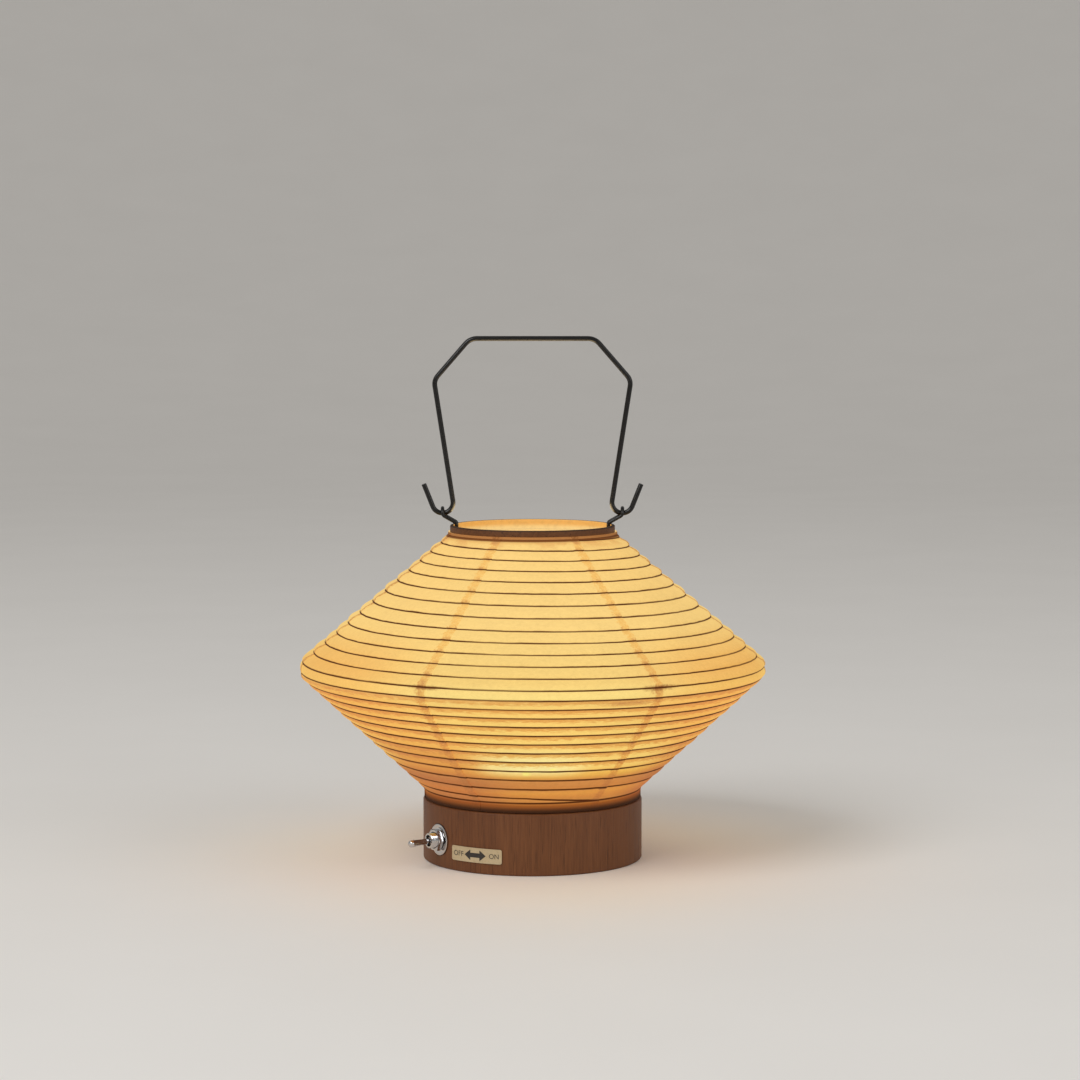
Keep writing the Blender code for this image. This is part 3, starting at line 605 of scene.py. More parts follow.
# %% [markdown]
# The paper
#
# The shade is glued up from six tapering strips that overlap by a few millimetres. Each strip is a flat
# grid whose rows are laid along the creases and whose columns are wrapped round the axis: that is a
# surface given by a formula, so the vertices are placed by code. Between two turns of the rib the paper
# stands out, more on the upper cone and never quite evenly, because it was glued by hand. For the same
# reason the seams wander. The Solidify modifier then gives the sheet its thickness.
#
# A UV map keeps what the finish needs to know: U is the distance from the lapping edge in millimetres,
# and V counts the turns of the rib, so a crease is wherever V is a whole number. The attribute called
# unfolded keeps each point's place on the open shade, so the marks stay on the paper when it folds.

# %% Values of the paper
STRIPS = 6
STRIP_ANGLE = 60
LAP_WIDTH = 3.8
LAP_LIFT = 0.17
LAP_EASE = 0.8
PAPER_THICKNESS = 0.15
CREASE_DEPTH = 0.35
FULL_BAND = 6.0
UPPER_SAG = 0.95
LOWER_SAG = 0.5
UPPER_WAY = 80
LOWER_WAY = 70
COLUMNS = 40
BAND_STEPS = (0.0, 0.1, 0.22, 0.36, 0.5, 0.64, 0.77, 0.89)
LAST_BAND = TURNS + 2
SEAM_DRIFT = {
    183: (9.0, 6.5, 3.0),
    243: (2.5, 0.4, -3.2),
    303: (-4.1, -2.3, 1.1),
    3: (-9.0, -9.0, -5.0),
}
UNEVEN_WAVES = ((0.14, 5.3, 0.0), (0.12, 11.7, 1.3), (0.09, 23.1, 2.2))
rows = [(0, 0.0), (0, 0.5)]
for band in range(1, LAST_BAND + 1):
    rows += [(band, share) for share in BAND_STEPS]
rows.append((LAST_BAND, 1.0))
print("rows of one strip:", len(rows))


# %% Form of the paper
def ease(value, start, end):
    share = min(max((value - start) / (end - start), 0), 1)
    return share * share * (3 - 2 * share)


def below_waist(along):
    """0 on the upper cone and 1 on the lower one."""
    return ease(along, 76, 86)


def sag(share, along):
    """How far the paper stands out within one band; each cone's curve is brought to a peak of 1."""
    upper = share**1.3 * (1 - share) ** 0.55 / 0.3243
    lower = share**0.9 * (1 - share) ** 1.1 / 0.2532
    low = below_waist(along)
    return upper * UPPER_SAG * (1 - low) + lower * LOWER_SAG * low


def fullness(turns):
    """How full the paper stands at a place along the spiral."""
    waves = [size * math.sin(FULL_TURN * count * turns + start) for size, count, start in UNEVEN_WAVES]
    return 0.9 + sum(waves)


def seam_at(seam, along):
    """Bearing of a seam, which drifts a little from top to waist to collar."""
    top, waist, bottom = SEAM_DRIFT.get(seam % 360, (0, 0, 0))
    if along < UPPER_WAY:
        return seam + top + (waist - top) * along / UPPER_WAY
    return seam + waist + (bottom - waist) * (along - UPPER_WAY) / LOWER_WAY


# %% One point of paper
def paper_point(first_seam, column, row):
    """Place of a grid point, its distance from the lapping edge, and its count of turns."""
    band, share = row
    across = column / COLUMNS
    along = 0.0
    # A point's bearing depends on its way along the line, and the other way round, so it is found twice.
    for attempt in range(2):
        radius = max(on_line(along).x, 30.0) if attempt else 60.0
        margin = math.degrees(LAP_WIDTH / 2 / radius)
        start = seam_at(first_seam, along) - margin
        reach = seam_at(first_seam + STRIP_ANGLE, along) + margin - start
        angle = start + across * reach
        turned = (angle - RIB_START) / 360
        ribs = [rib_along(turned + number) for number in range(TURNS)]
        edges = [-HOOP_LAP, 0.0, *ribs, *line_ends[-2:]]
        along = edges[band] + share * (edges[band + 1] - edges[band])
    off = 0.0
    if 0 < band < LAST_BAND:
        width = edges[band + 1] - edges[band]
        depth = CREASE_DEPTH * (1 - 0.4 * below_waist(along))
        depth *= ease(along, 0, 3) * ease(line_ends[-2] - along, 0, 3)
        off = sag(share, along) * min(width / FULL_BAND, 1) * fullness(band + turned) - depth
    edge = math.radians(reach) * (1 - across) * radius
    off += LAP_LIFT * ease(LAP_WIDTH + LAP_EASE - edge, 0, LAP_EASE)
    radius, height = on_shade(along, off)
    count = band - 2 + share
    if along < ribs[0]:
        count = (along - ribs[0]) / FULL_BAND
    elif along > ribs[-1]:
        count = TURNS - 1 + (along - ribs[-1]) / FULL_BAND
    turn = math.radians(angle)
    return Vector((radius * math.cos(turn), radius * math.sin(turn), height)) * MM, edge, count


# %% One strip of paper
def paper_strip(name, first_seam):
    """A flat grid, wrapped onto the shade from one seam to the next."""
    let_go()
    size = 0.1
    bpy.ops.mesh.primitive_grid_add(x_subdivisions=COLUMNS, y_subdivisions=len(rows) - 1, size=size)
    strip = keep_as(name)
    notes = {}
    for corner in strip.data.vertices:
        column = round((corner.co.x / size + 0.5) * COLUMNS)
        row = round((0.5 - corner.co.y / size) * (len(rows) - 1))
        corner.co, edge, count = paper_point(first_seam, column, rows[row])
        notes[corner.index] = (edge, count)
    strip.data.uv_layers[0].name = "sheet"
    for loop in strip.data.loops:
        strip.data.uv_layers[0].data[loop.index].uv = notes[loop.vertex_index]
    unfolded = strip.data.attributes.new("unfolded", "FLOAT_VECTOR", "POINT")
    for corner in strip.data.vertices:
        unfolded.data[corner.index].vector = corner.co
    thicken(strip, PAPER_THICKNESS)
    smooth(strip, 40)
    return strip


# %% [markdown]
# The finish of lit paper
#
# The lamp is on. Light that has come through the paper leaves it in all directions, so the glow is
# plain emission, painted by height: pale yellow above the light source and at the waist, orange towards
# the collar. Three brighter patches lie round the lower cone, one before each emitter. The ribs are
# dark lines where V is whole: their shadows are painted into the glow and into the paper's colour, and
# on the lower cone each throws a ragged painted shadow below it. A painted shadow line of the same kind
# runs along the top of the collar. The paper's colour also has painted shade over the collar, darkest
# where it meets the base, and a line of painted shadow along the lower edge of the hoop. The laps are
# two sheets thick, torn at their edges and so a little darker, and there are stains of glue at the
# waist and under the hoop.

# %% Paper finish: what it reads
# Below, edge and height are in mm, and count is in turns of the rib.
paper = new_finish("mulberry_paper_lit")
sheet = add("ShaderNodeUVMap", {}, uv_map="sheet").outputs[0]
edge = axis_of(sheet, 0)
count = axis_of(sheet, 1)
where = add("ShaderNodeAttribute", {}, attribute_name="unfolded").outputs["Vector"]
height = height_of(where)
facing = vector_math("NORMALIZE", level_part(where))
fibre = use_group(fibres, scale=1.0)

# %% Paper finish: rib lines and their shadows
wander = slope(noise(where, 160.0, 2.0), 0.05, -0.025)
near_rib = math_node("PINGPONG", math_node("ADD", count, wander), 0.5)
on_spiral = math_node("COMPARE", count, 12.0, 12.5)
half = step(height, 77, 73, 0.064, 0.112)
half = slope(math_node("COMPARE", height, 77.2, 4), 0.026, half)
# the dark rib lines are painted shadows of the ribs inside the paper
line = product(step(near_rib, half, product(half, 0.4)), on_spiral)
# a painted shadow line along the top of the collar as well
from_collar = math_node("ABSOLUTE", math_node("SUBTRACT", height, 28.7))
line = most(line, step(from_collar, 0.55, 0.2))
line = product(line, step(noise(where, 28.0, 2.0), 0.25, 0.55, 0.80, 1.0))

around = vector_math("MULTIPLY", facing, (22.0, 22.0, 0.0))
down = add("ShaderNodeCombineXYZ", {2: product(count, 9.0)}).outputs[0]
streak = noise(vector_math("ADD", around, down), 1.0, 4.0, 0.65)
below_rib = math_node("FRACT", count)
ragged = slope(streak, 1.1, math_node("ADD", below_rib, -0.55))
on_lower_cone = product(step(height, 76.0, 75.0), step(height, 43.2, 44.2))
shadow = product(step(ragged, 0.52, 0.18), on_lower_cone)

# %% Paper finish: laps and stains
torn = slope(noise(where, 620.0, 4.0, 0.8), 8.0, -4.0)
from_edge = math_node("ADD", edge, torn)
lap = product(
    step(from_edge, LAP_WIDTH + 0.2, LAP_WIDTH - 0.9),
    step(from_edge, -0.5, 0.6),
    step(noise(where, 1300.0, 2.0), 0.36, 0.56, 0.5, 1.0),
)
blotch = product(lap, step(near_rib, 0.26, 0.05), on_spiral)
blotch = product(blotch, step(noise(where, 420.0, 1.0), 0.35, 0.6))


def stains(*marks):
    """Soft-edged marks of (middle, (half width, half height)) in mm, in one mask."""
    masks = []
    for middle, (wide, high) in marks:
        away = vector_math("SUBTRACT", where, [value * MM for value in middle])
        away = vector_math("MULTIPLY", away, [1 / MM / reach for reach in (wide, wide, high)])
        far = vector_math("LENGTH", away)
        masks.append(step(slope(torn, 0.16, far), 1.0, 0.2))
    return most(*masks)


glue = stains(((47.9, -79.7, 78.8), (10.0, 1.6)), ((-40.5, -83.7, 79.3), (8.5, 1.2)))
smudge = stains(
    ((47.3, -80.1, 77.6), (4.2, 2.4)),
    ((-41.4, -83.3, 81.4), (2.8, 2.9)),
    ((-42.4, -82.8, 77.8), (3.0, 2.2)),
)
patch = stains(((36.1, -83.5, 73.2), (15.0, 1.5)))
daub = stains(((-14.4, -31.6, 129.0), (2.4, 1.6)), ((16.8, -30.4, 129.0), (2.6, 2.2)))
cloudy = step(noise(where, 130.0, 3.0), 0.45, 0.62)
under_hoop = product(step(height, 126.6, 128.6), cloudy)

# %% Paper finish: glow by height
plugs = {"Value": height, "From Min": LINE[-1][1], "From Max": LINE[0][1]}
level = add("ShaderNodeMapRange", plugs).outputs[0]
glow = ramp(level, [
    (0.007, (0.000, 0.000, 0.000)),
    (0.017, (0.040, 0.004, 0.000)),
    (0.026, (0.150, 0.030, 0.000)),
    (0.036, (0.330, 0.085, 0.000)),
    (0.060, (0.400, 0.105, 0.000)),
    (0.080, (0.470, 0.150, 0.000)),
    (0.100, (0.350, 0.080, 0.000)),
    (0.130, (0.350, 0.080, 0.000)),
    (0.160, (0.560, 0.280, 0.020)),
    (0.195, (0.690, 0.480, 0.110)),
    (0.330, (0.690, 0.470, 0.105)),
    (0.440, (0.700, 0.450, 0.100)),
    (0.485, (0.640, 0.500, 0.145)),
    (0.530, (0.580, 0.400, 0.100)),
    (0.700, (0.625, 0.430, 0.128)),
    (0.972, (0.625, 0.410, 0.118)),
    (0.980, (0.540, 0.290, 0.060)),
    (0.985, (0.040, 0.006, 0.000)),
    (0.990, (0.020, 0.004, 0.000)),
])


# %% Paper finish: bright patches
def lobes(bearing):
    """Three bright patches round the shade, 1 in front of an emitter and -1 midway between two."""
    side = axis_of(bearing, 1)
    return slope(product(side, side, side), -4.0, product(side, 3.0))


drift = step(height, 70, 46, 0.0, -0.31)
turned = add("ShaderNodeVectorRotate", {"Vector": facing, "Angle": drift}, rotation_type="Z_AXIS")
off_lobe = step(lobes(turned.outputs[0]), 0.5, -1.0)
off_lobe = product(off_lobe, step(height, 82, 100, 1.0, 0.12))
dim = mix(step(height, 56, 48), (0.95, 0.66, 0.36), (0.74, 0.38, 0.10))
glow = tint(glow, mix(off_lobe, WHITE, dim))
normal = add("ShaderNodeTexCoord", {}).outputs["Normal"]
inside = step(vector_math("DOT_PRODUCT", normal, facing), 0.0, -0.2)
inside = product(inside, step(height, 120, 126))
hot = product(step(height, 40, 45), step(height, 57, 46), step(lobes(facing), 0.3, 1.0))
sparkle = stains(((-2.2, -58.0, 42.6), (2.4, 1.5)), ((8.0, -59.7, 44.6), (1.9, 1.5)))
glow = paint(
    glow,
    (inside, (0.80, 0.58, 0.24)),
    (hot, (0.715, 0.660, 0.270)),
    (product(sparkle, 0.8), (0.74, 0.72, 0.16)),
)

# %% Paper finish: what dims the glow
glow = mix(shadow, glow, tint(glow, (0.72, 0.42, 0.15)))
sideways = math_node("ABSOLUTE", axis_of(facing, 1))
seam = paint(
    (0.95, 0.74, 0.44),
    (step(height, 98, 82), (0.84, 0.58, 0.30)),
    (step(height, 80, 70), (0.76, 0.50, 0.26)),
    (step(sideways, 0.4, 0.25), (0.52, 0.27, 0.10)),
)
glow = tint(glow, mix(lap, WHITE, seam))
marks = paint(
    WHITE,
    (product(blotch, 0.7), (0.45, 0.20, 0.05)),
    (product(under_hoop, step(inside, 1.0, 0.0, 0.0, 0.6)), (0.75, 0.50, 0.30)),
    (patch, (0.66, 0.44, 0.28)),
    (daub, (0.64, 0.38, 0.18)),
    (product(smudge, step(fibre["Cloud"], 0.3, 0.6)), (0.60, 0.36, 0.15)),
    (product(glue, 0.85), (0.25, 0.09, 0.01)),
)
glow = tint(glow, marks)
mottle = product(
    slope(fibre["Cloud"], 0.24, 0.87),
    slope(noise(where, 210.0, 3.0, 0.6), 0.16, 0.91),
    slope(noise(where, 24.0, 1.0), 0.20, 0.89),
    slope(fibre["Fibre"], -0.07, 1.0),
)
glow = mix(line, tint(glow, mottle), (0.050, 0.010, 0.000))

# %% Paper finish: sheet
over_hoop = step(height, 129.7, 129.95)
tone = paint(
    mix(fibre["Cloud"], (0.36, 0.24, 0.095), (0.43, 0.30, 0.13)),
    (product(lap, 0.5), (0.39, 0.245, 0.085)),
    # painted shade: darker over the collar and darkest where the paper meets the base
    (step(height, 29.5, 27.5), (0.24, 0.095, 0.024)),
    (step(height, 27.5, 25.2), (0.055, 0.019, 0.006)),
    # painted shadow: a dark line along the lower edge of the hoop, under the paler paper wrapped round it
    (over_hoop, (0.15, 0.050, 0.010)),
    (step(height, 130.55, 130.8), (0.46, 0.200, 0.060)),
    (product(over_hoop, lap, 0.6), (0.20, 0.070, 0.014)),
    (product(glue, 0.7), (0.12, 0.050, 0.015)),
    # painted shadow of the ribs in the paper's own colour
    (line, (0.050, 0.016, 0.004)),
)
rough = slope(fibre["Cloud"], 0.2, 0.72)
relief = slope(fibre["Fibre"], 0.6, fibre["Cloud"])
plug(base_color=tone, roughness=rough, emission_color=glow, emission_strength=1.0)
plug(normal=bump(relief, 0.06, 0.6), specular_ior_level=0.2)
print("nodes of this finish:", len(paper.node_tree.nodes))


def fold_with_shade(piece):
    """Give a piece of the shade a mesh of its own."""
    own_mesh(piece)


for number in range(1, STRIPS + 1):
    first_seam = RIB_START + STRIP_ANGLE * (number % STRIPS)
    strip = paper_strip(f"paper_strip_{number}", first_seam)
    dress(strip, paper, "mulberry_paper", "base", f"paper_panel_{number}")
    fold_with_shade(strip)

# %% [markdown]
# Ribs and belts
#
# The rib is a thin rod of split bamboo that winds down inside the creases. A spiral that also widens is
# more than the Screw modifier gives, so it is a curve through points on the shade's line, with a round
# section, made a mesh at the end. The two turns at the waist are stiffer hoops that move on their own
# bodies.

# %% Bamboo finish
bamboo = new_finish("split_bamboo_rod")
fine = use_group(grain, fine=1.2, long=6.0)
tone = mix(fine["Grain"], (0.16, 0.075, 0.028), (0.34, 0.19, 0.075))
tone = mix(product(fine["Pores"], 0.5), tone, (0.07, 0.03, 0.012))
plug(base_color=tone, roughness=slope(fine["Grain"], 0.2, 0.5))
plug(normal=bump(fine["Grain"], 0.05))

# %% Two lengths of rib
RIB_RADIUS = 0.42
RIB_DEPTH = CREASE_DEPTH + PAPER_THICKNESS + 0.5


def rib_rod(name, first_turn, last_turn):
    """A round rod inside the creases, from one count of turns to another."""
    let_go()
    path = bpy.data.curves.new(name, "CURVE")
    path.dimensions = "3D"
    path.bevel_depth = RIB_RADIUS * MM
    path.bevel_resolution = 2
    path.use_fill_caps = True
    steps = round((last_turn - first_turn) * 60)
    spiral = path.splines.new("POLY")
    spiral.points.add(steps)
    for number, point in enumerate(spiral.points):
        turns = first_turn + (last_turn - first_turn) * number / steps
        radius, height = on_shade(rib_along(turns), -RIB_DEPTH)
        angle = math.radians(RIB_START + 360 * turns)
        point.co = (radius * math.cos(angle) * MM, radius * math.sin(angle) * MM, height * MM, 1)
    rod = bpy.data.objects.new(name, path)
    bpy.context.collection.objects.link(rod)
    take(rod)
    bpy.ops.object.convert(target="MESH")
    rod = bpy.context.object
    smooth(rod, 60)
    return rod


for name, first_turn, last_turn in (("upper_rib_strip", 0.15, 11.97), ("lower_rib_strip", 14.03, 24.9)):
    rib = rib_rod(name, first_turn, last_turn)
    dress(rib, bamboo, "split_bamboo", "base", name.replace("_strip", ""))
    fold_with_shade(rib)

# %% Two belts
BELT_RADIUS = 0.68
BELT_SIDES = 12
for name in ("upper_belt", "lower_belt"):
    low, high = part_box(f"{name}_hoop")
    middle = (low.z + high.z) / 2 / MM
    out = high.x / MM - 0.05 - BELT_RADIUS
    section = []
    for corner in range(BELT_SIDES):
        angle = FULL_TURN * corner / BELT_SIDES
        section.append((out + BELT_RADIUS * math.cos(angle), middle + BELT_RADIUS * math.sin(angle)))
    belt = turn_on_lathe(f"{name}_rod", section, 144)
    smooth(belt, 60)
    dress(belt, bamboo, "split_bamboo", name, f"{name}_hoop")

# %% [markdown]
# Two hoops
#
# A strip of wood bent into a ring stiffens the mouth, and another one lies hidden in the collar. Both
# are turned, with their edges eased by a bevel as a plane would. The upper one is stained dark. Its top
# edge is drawn darker still, and its lining catches the light from below, which is painted on like the
# paper's glow.

# %% Stained wood of the hoop
stained = new_finish("stained_hoop_wood")
fine = use_group(grain, fine=0.5, long=14.0)
fibre = use_group(fibres, scale=0.6)
where = coordinates()
height = height_of(where)
from_axis = product(vector_math("LENGTH", level_part(where)), 1 / MM)
lining = step(from_axis, 31.75, 31.55)
tone = paint(
    mix(fine["Grain"], (0.060, 0.020, 0.005), (0.17, 0.062, 0.016)),
    (product(fine["Pores"], 0.6), (0.030, 0.010, 0.003)),
    (product(step(height, 133.4, 133.9), 0.8), (0.026, 0.010, 0.003)),
    (lining, (0.40, 0.26, 0.10)),
)
lit = mix(step(height, 132.8, 130.6), (0.54, 0.24, 0.035), (0.64, 0.46, 0.18))
lit = tint(lit, step(fibre["Cloud"], 0.3, 0.6, 0.82, 1.0))
lit = mix(lining, BLACK, lit)
plug(base_color=tone, roughness=slope(fine["Broad"], 0.25, 0.48))
plug(normal=bump(fine["Grain"], 0.06), specular_ior_level=0.3)
plug(emission_color=lit, emission_strength=1.0)


# %% Hoops
MOUTH_INNER = 31.4
COLLAR_INNER = 40.9
HOOP_EASE = 0.45


def bent_hoop(name, node, inner, finish, slot, body):
    """A ring of wood in the box of its CAD node, with eased edges."""
    low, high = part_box(node)
    outer = high.x / MM
    bottom, top = low.z / MM, high.z / MM
    hoop = turn_on_lathe(name, [(inner, bottom), (outer, bottom), (outer, top), (inner, top)], 160)
    round_rings(hoop, [(inner, top), (outer, top), (outer, bottom)], HOOP_EASE)
    smooth(hoop)
    dress(hoop, finish, slot, body, node)


bent_hoop("mouth_hoop", "top_hoop", MOUTH_INNER, stained, "stained_hoop", "shade_top")
bent_hoop("collar_hoop", "bottom_hoop", COLLAR_INNER, bamboo, "split_bamboo", "base")

# %% [markdown]
# Bent wire
#
# The bail and its two eyelets are steel wire, lacquered black. A ring of edges is extruded along each
# straight and swung round each bend with Spin, as the wire itself is bent over a pin. Spin turns the
# other way from the angle that it is given, hence the minus sign.

# %% Black lacquer
lacquer = new_finish("black_lacquer")
worn = use_group(rubbed, scale=1.0)
tone = mix(worn["Scratch"], (0.004, 0.0036, 0.0033), (0.015, 0.013, 0.012))
plug(base_color=tone, roughness=slope(worn["Bloom"], 0.2, 0.16))
plug(normal=bump(worn["Bloom"], 0.03), specular_ior_level=0.35)


# %% Wire helper
def bend_wire(name, corners, thick, sides):
    """Extrude and spin a ring along corners of (x, y, z, bend radius) in mm."""
    points = [Vector(corner[:3]) * MM for corner in corners]
    ways = [(there - here).normalized() for here, there in zip(points, points[1:])]
    let_go()
    tilt = ways[0].to_track_quat("Z", "Y").to_euler()
    bpy.ops.mesh.primitive_circle_add(vertices=sides, radius=thick * MM, location=points[0], rotation=tilt)
    wire = keep_as(name)
    open_mesh()
    bpy.ops.mesh.edge_face_add()
    here = points[0]
    for number in range(1, len(points) - 1):
        into, away = ways[number - 1], ways[number]
        bend = corners[number][3] * MM
        angle = into.angle(away)
        axis = into.cross(away).normalized()
        back = bend * math.tan(angle / 2)
        start = points[number] - into * back
        if (start - here).length > 0.01 * MM:
            extrude(start - here)
        centre = start + axis.cross(into) * bend
        steps = max(4, round(math.degrees(angle) / 9))
        bpy.ops.mesh.spin(steps=steps, angle=-angle, center=centre, axis=axis)
        here = points[number] + away * back
    extrude(points[-1] - here)
    bpy.ops.mesh.edge_face_add()
    face_outwards()
    pick(wire, "FACE", lambda face: len(face.verts) == sides)
    bpy.ops.mesh.bevel(offset=0.3 * thick * MM, segments=3, affect="EDGES")
    bpy.ops.object.mode_set(mode="OBJECT")
    smooth(wire, 50)
    return wire


# %% Eyelets
EYELET_HALF = 2.6
EYELET_WIRE = 0.7
one_leg = [(30.4, 131.1, 0), (30.4, 135.0, 1.2), (35.9, 138.1, 1.5), (36.0, 140.9, 2.6)]
eyelet_corners = [(x, -EYELET_HALF, z, bend) for x, z, bend in one_leg]
eyelet_corners += [(x, EYELET_HALF, z, bend) for x, z, bend in reversed(one_leg)]
right_eyelet = bend_wire("right_eyelet_wire", eyelet_corners, EYELET_WIRE, 16)
take(right_eyelet)
bpy.ops.object.duplicate()
left_eyelet = bpy.context.object
left_eyelet.name = left_eyelet.data.name = "left_eyelet_wire"
place(left_eyelet, Matrix.Rotation(math.pi, 4, "Z"))
dress(right_eyelet, lacquer, "black_wire", "shade_top", "eyelet_right")
dress(left_eyelet, lacquer, "black_wire", "shade_top", "eyelet_left")

# %% Bail
BAIL_WIRE = 1.0
right_half = [(43.5, 150.5, 0), (26.18, 106.91, 4.2), (39.3, 191.9, 5.0), (24.9, 208.5, 6.0)]
bail_corners = [(x, 0, z, bend) for x, z, bend in right_half]
bail_corners += [(-x, 0, z, bend) for x, z, bend in reversed(right_half)]
bail = bend_wire("bail_wire", bail_corners, BAIL_WIRE, 24)
dress(bail, lacquer, "black_wire", "bail", "bail_handle")

# %% [markdown]
# The base
#
# The base is turned from brown wood, hollow below for the batteries, with a step that the collar of the
# shade sits round. The flat seat of the switch, its hole and the pocket behind it are cut with Boolean
# modifiers, as a cutter would after the turning. The grain runs up the wall in fine streaks. The top
# face lies inside the shade, so it is painted as lit by the lamp.

# %% Oiled wood
wood = new_finish("oiled_brown_wood")
fine = use_group(grain, fine=1.0, long=1.0)
tone = paint(
    mix(fine["Grain"], (0.085, 0.028, 0.009), (0.215, 0.083, 0.029)),
    (product(step(fine["Broad"], 0.4, 0.7), 0.35), (0.105, 0.036, 0.012)),
    (product(fine["Pores"], 0.55), (0.045, 0.015, 0.005)),
)
top_face = step(height_of(coordinates()), 26.4, 26.9)
lit = mix(top_face, BLACK, tint(tone, (1.0, 0.75, 0.42)))
pits = math_node("SUBTRACT", fine["Grain"], fine["Pores"])
plug(base_color=tone, roughness=slope(fine["Grain"], 0.2, 0.42))
plug(normal=bump(pits, 0.05), specular_ior_level=0.3)
plug(emission_color=lit, emission_strength=1.6)

# %% Turn the base
BASE_RADIUS = 44.0
BASE_HEIGHT = 24.5
STEP_RADIUS = 40.6
STEP_TOP = 27.0
WIRE_HOLE = 3.0
HOLLOW_RADIUS = 32.65
HOLLOW_TOP = 21.0
COVER_RADIUS = 37.65
COVER_TOP = 3.3
base_outline = [
    (COVER_RADIUS, 0.0), (BASE_RADIUS, 0.0), (BASE_RADIUS, BASE_HEIGHT), (STEP_RADIUS, BASE_HEIGHT),
    (STEP_RADIUS, STEP_TOP), (WIRE_HOLE, STEP_TOP), (WIRE_HOLE, HOLLOW_TOP), (HOLLOW_RADIUS, HOLLOW_TOP),
    (HOLLOW_RADIUS, COVER_TOP), (COVER_RADIUS, COVER_TOP),
]
base = turn_on_lathe("turned_base", base_outline, 180)
round_rings(base, [(BASE_RADIUS, 0.0), (BASE_RADIUS, BASE_HEIGHT)], 0.8, 4)
round_rings(base, [(COVER_RADIUS, 0.0), (STEP_RADIUS, STEP_TOP)], 0.3, 2)

# %% Cut the seat of the switch
SWITCH_RISE = 11 * MM
SWITCH_BEARING = math.radians(213)
SEAT_RADIUS = 6.5
SEAT_FACE = 43.517
BORE_RADIUS = 3.3
BORE_END = 36.0
POCKET_MIDDLE = 34.0
POCKET_SIDES = (11.834, 13.6, 8.6)
LAID_FLAT = Matrix.Rotation(math.radians(90), 4, "Y")
SWITCH_PLACE = Matrix.Translation((0, 0, SWITCH_RISE)) @ Matrix.Rotation(SWITCH_BEARING, 4, "Z")
SWITCH_AXIS = SWITCH_PLACE @ LAID_FLAT
for name, wide, low in (("seat_cutter", SEAT_RADIUS, SEAT_FACE), ("hole_cutter", BORE_RADIUS, BORE_END)):
    cutter = turn_on_lathe(name, [(wide, low), (wide, 50.0)], 62, solid=True)
    place(cutter, SWITCH_AXIS)
    cut(base, cutter)
let_go()
bpy.ops.mesh.primitive_cube_add(
    size=1, location=(POCKET_MIDDLE * MM, 0, 0), scale=[side * MM for side in POCKET_SIDES]
)
pocket = keep_as("pocket_cutter")
place(pocket, SWITCH_PLACE)
cut(base, pocket)
smooth(base, 30)
dress(base, wood, "oiled_wood", "base", "base_body")

# %% [markdown]
# The toggle switch
#
# A panel toggle goes through the wall: a washer and a nut hold its threaded bushing, and a bat-shaped
# lever leans towards ON. Each is turned standing up and then laid along the axis of the switch. The nut
# starts as a six-sided prism that a turned shape trims, which gives its rounded corners.


# %% Chrome
def metal(name, dark, bright, rough, scale=0.8, wear=0.2, depth=0.01):
    """A metal with a bloom of two tones, and fine scratches that are duller."""
    finish = new_finish(name)
    worn = use_group(rubbed, scale=scale)
    tone = mix(worn["Bloom"], dark, bright)
    plug(base_color=tone, metallic=1.0, roughness=slope(worn["Scratch"], wear, rough))
    plug(normal=bump(worn["Scratch"], depth))
    return finish


plated = {"scale": 1.4, "wear": 0.15, "depth": 0.006}
chrome = metal("bright_chrome", (0.52, 0.52, 0.53), (0.68, 0.68, 0.69), 0.12, **plated)


# %% Washer, nut and bushing
def fit_on_switch(piece, node):
    """Lay a turned piece along the axis of the switch, and plate it."""
    place(piece, SWITCH_AXIS)
    smooth(piece, 25)
    dress(piece, chrome, "switch_chrome", "base", node)


washer_outline = [
    (BORE_RADIUS, 43.82), (6.2, 43.82), (6.2, 44.2), (5.95, 44.32), (5.2, 44.32),
    (4.9, 44.22), (4.4, 44.22), (4.1, 44.32), (BORE_RADIUS, 44.32),
]
fit_on_switch(turn_on_lathe("switch_washer_ring", washer_outline, 72), "switch_washer")

NUT_CORNER = 4.619
NUT_MIDDLE = 45.617
let_go()
bpy.ops.mesh.primitive_cylinder_add(
    vertices=6, radius=NUT_CORNER * MM, depth=2 * MM, location=(0, 0, NUT_MIDDLE * MM)
)
nut = keep_as("switch_hex_nut")
trim_outline = [(4.05, 44.5), (4.05, 44.617), (4.7, 44.98), (4.7, 46.25), (4.05, 46.617), (4.05, 46.7)]
cut(nut, turn_on_lathe("nut_trim", trim_outline, 60, solid=True), "INTERSECT")
cut(nut, turn_on_lathe("nut_bore", [(BORE_RADIUS, 44.0), (BORE_RADIUS, 47.0)], 50, solid=True))
fit_on_switch(nut, "switch_nut")

THREAD_PITCH = 0.6
thread = [(2.3, 39.917), (3.0, 39.917)]
for turn in range(14):
    thread += [(3.0, 40.4 + THREAD_PITCH * turn), (2.78, 40.7 + THREAD_PITCH * turn)]
thread += [(3.0, 48.75), (2.85, 48.917), (2.3, 48.917)]
fit_on_switch(turn_on_lathe("switch_thread", thread, 48), "switch_bushing")

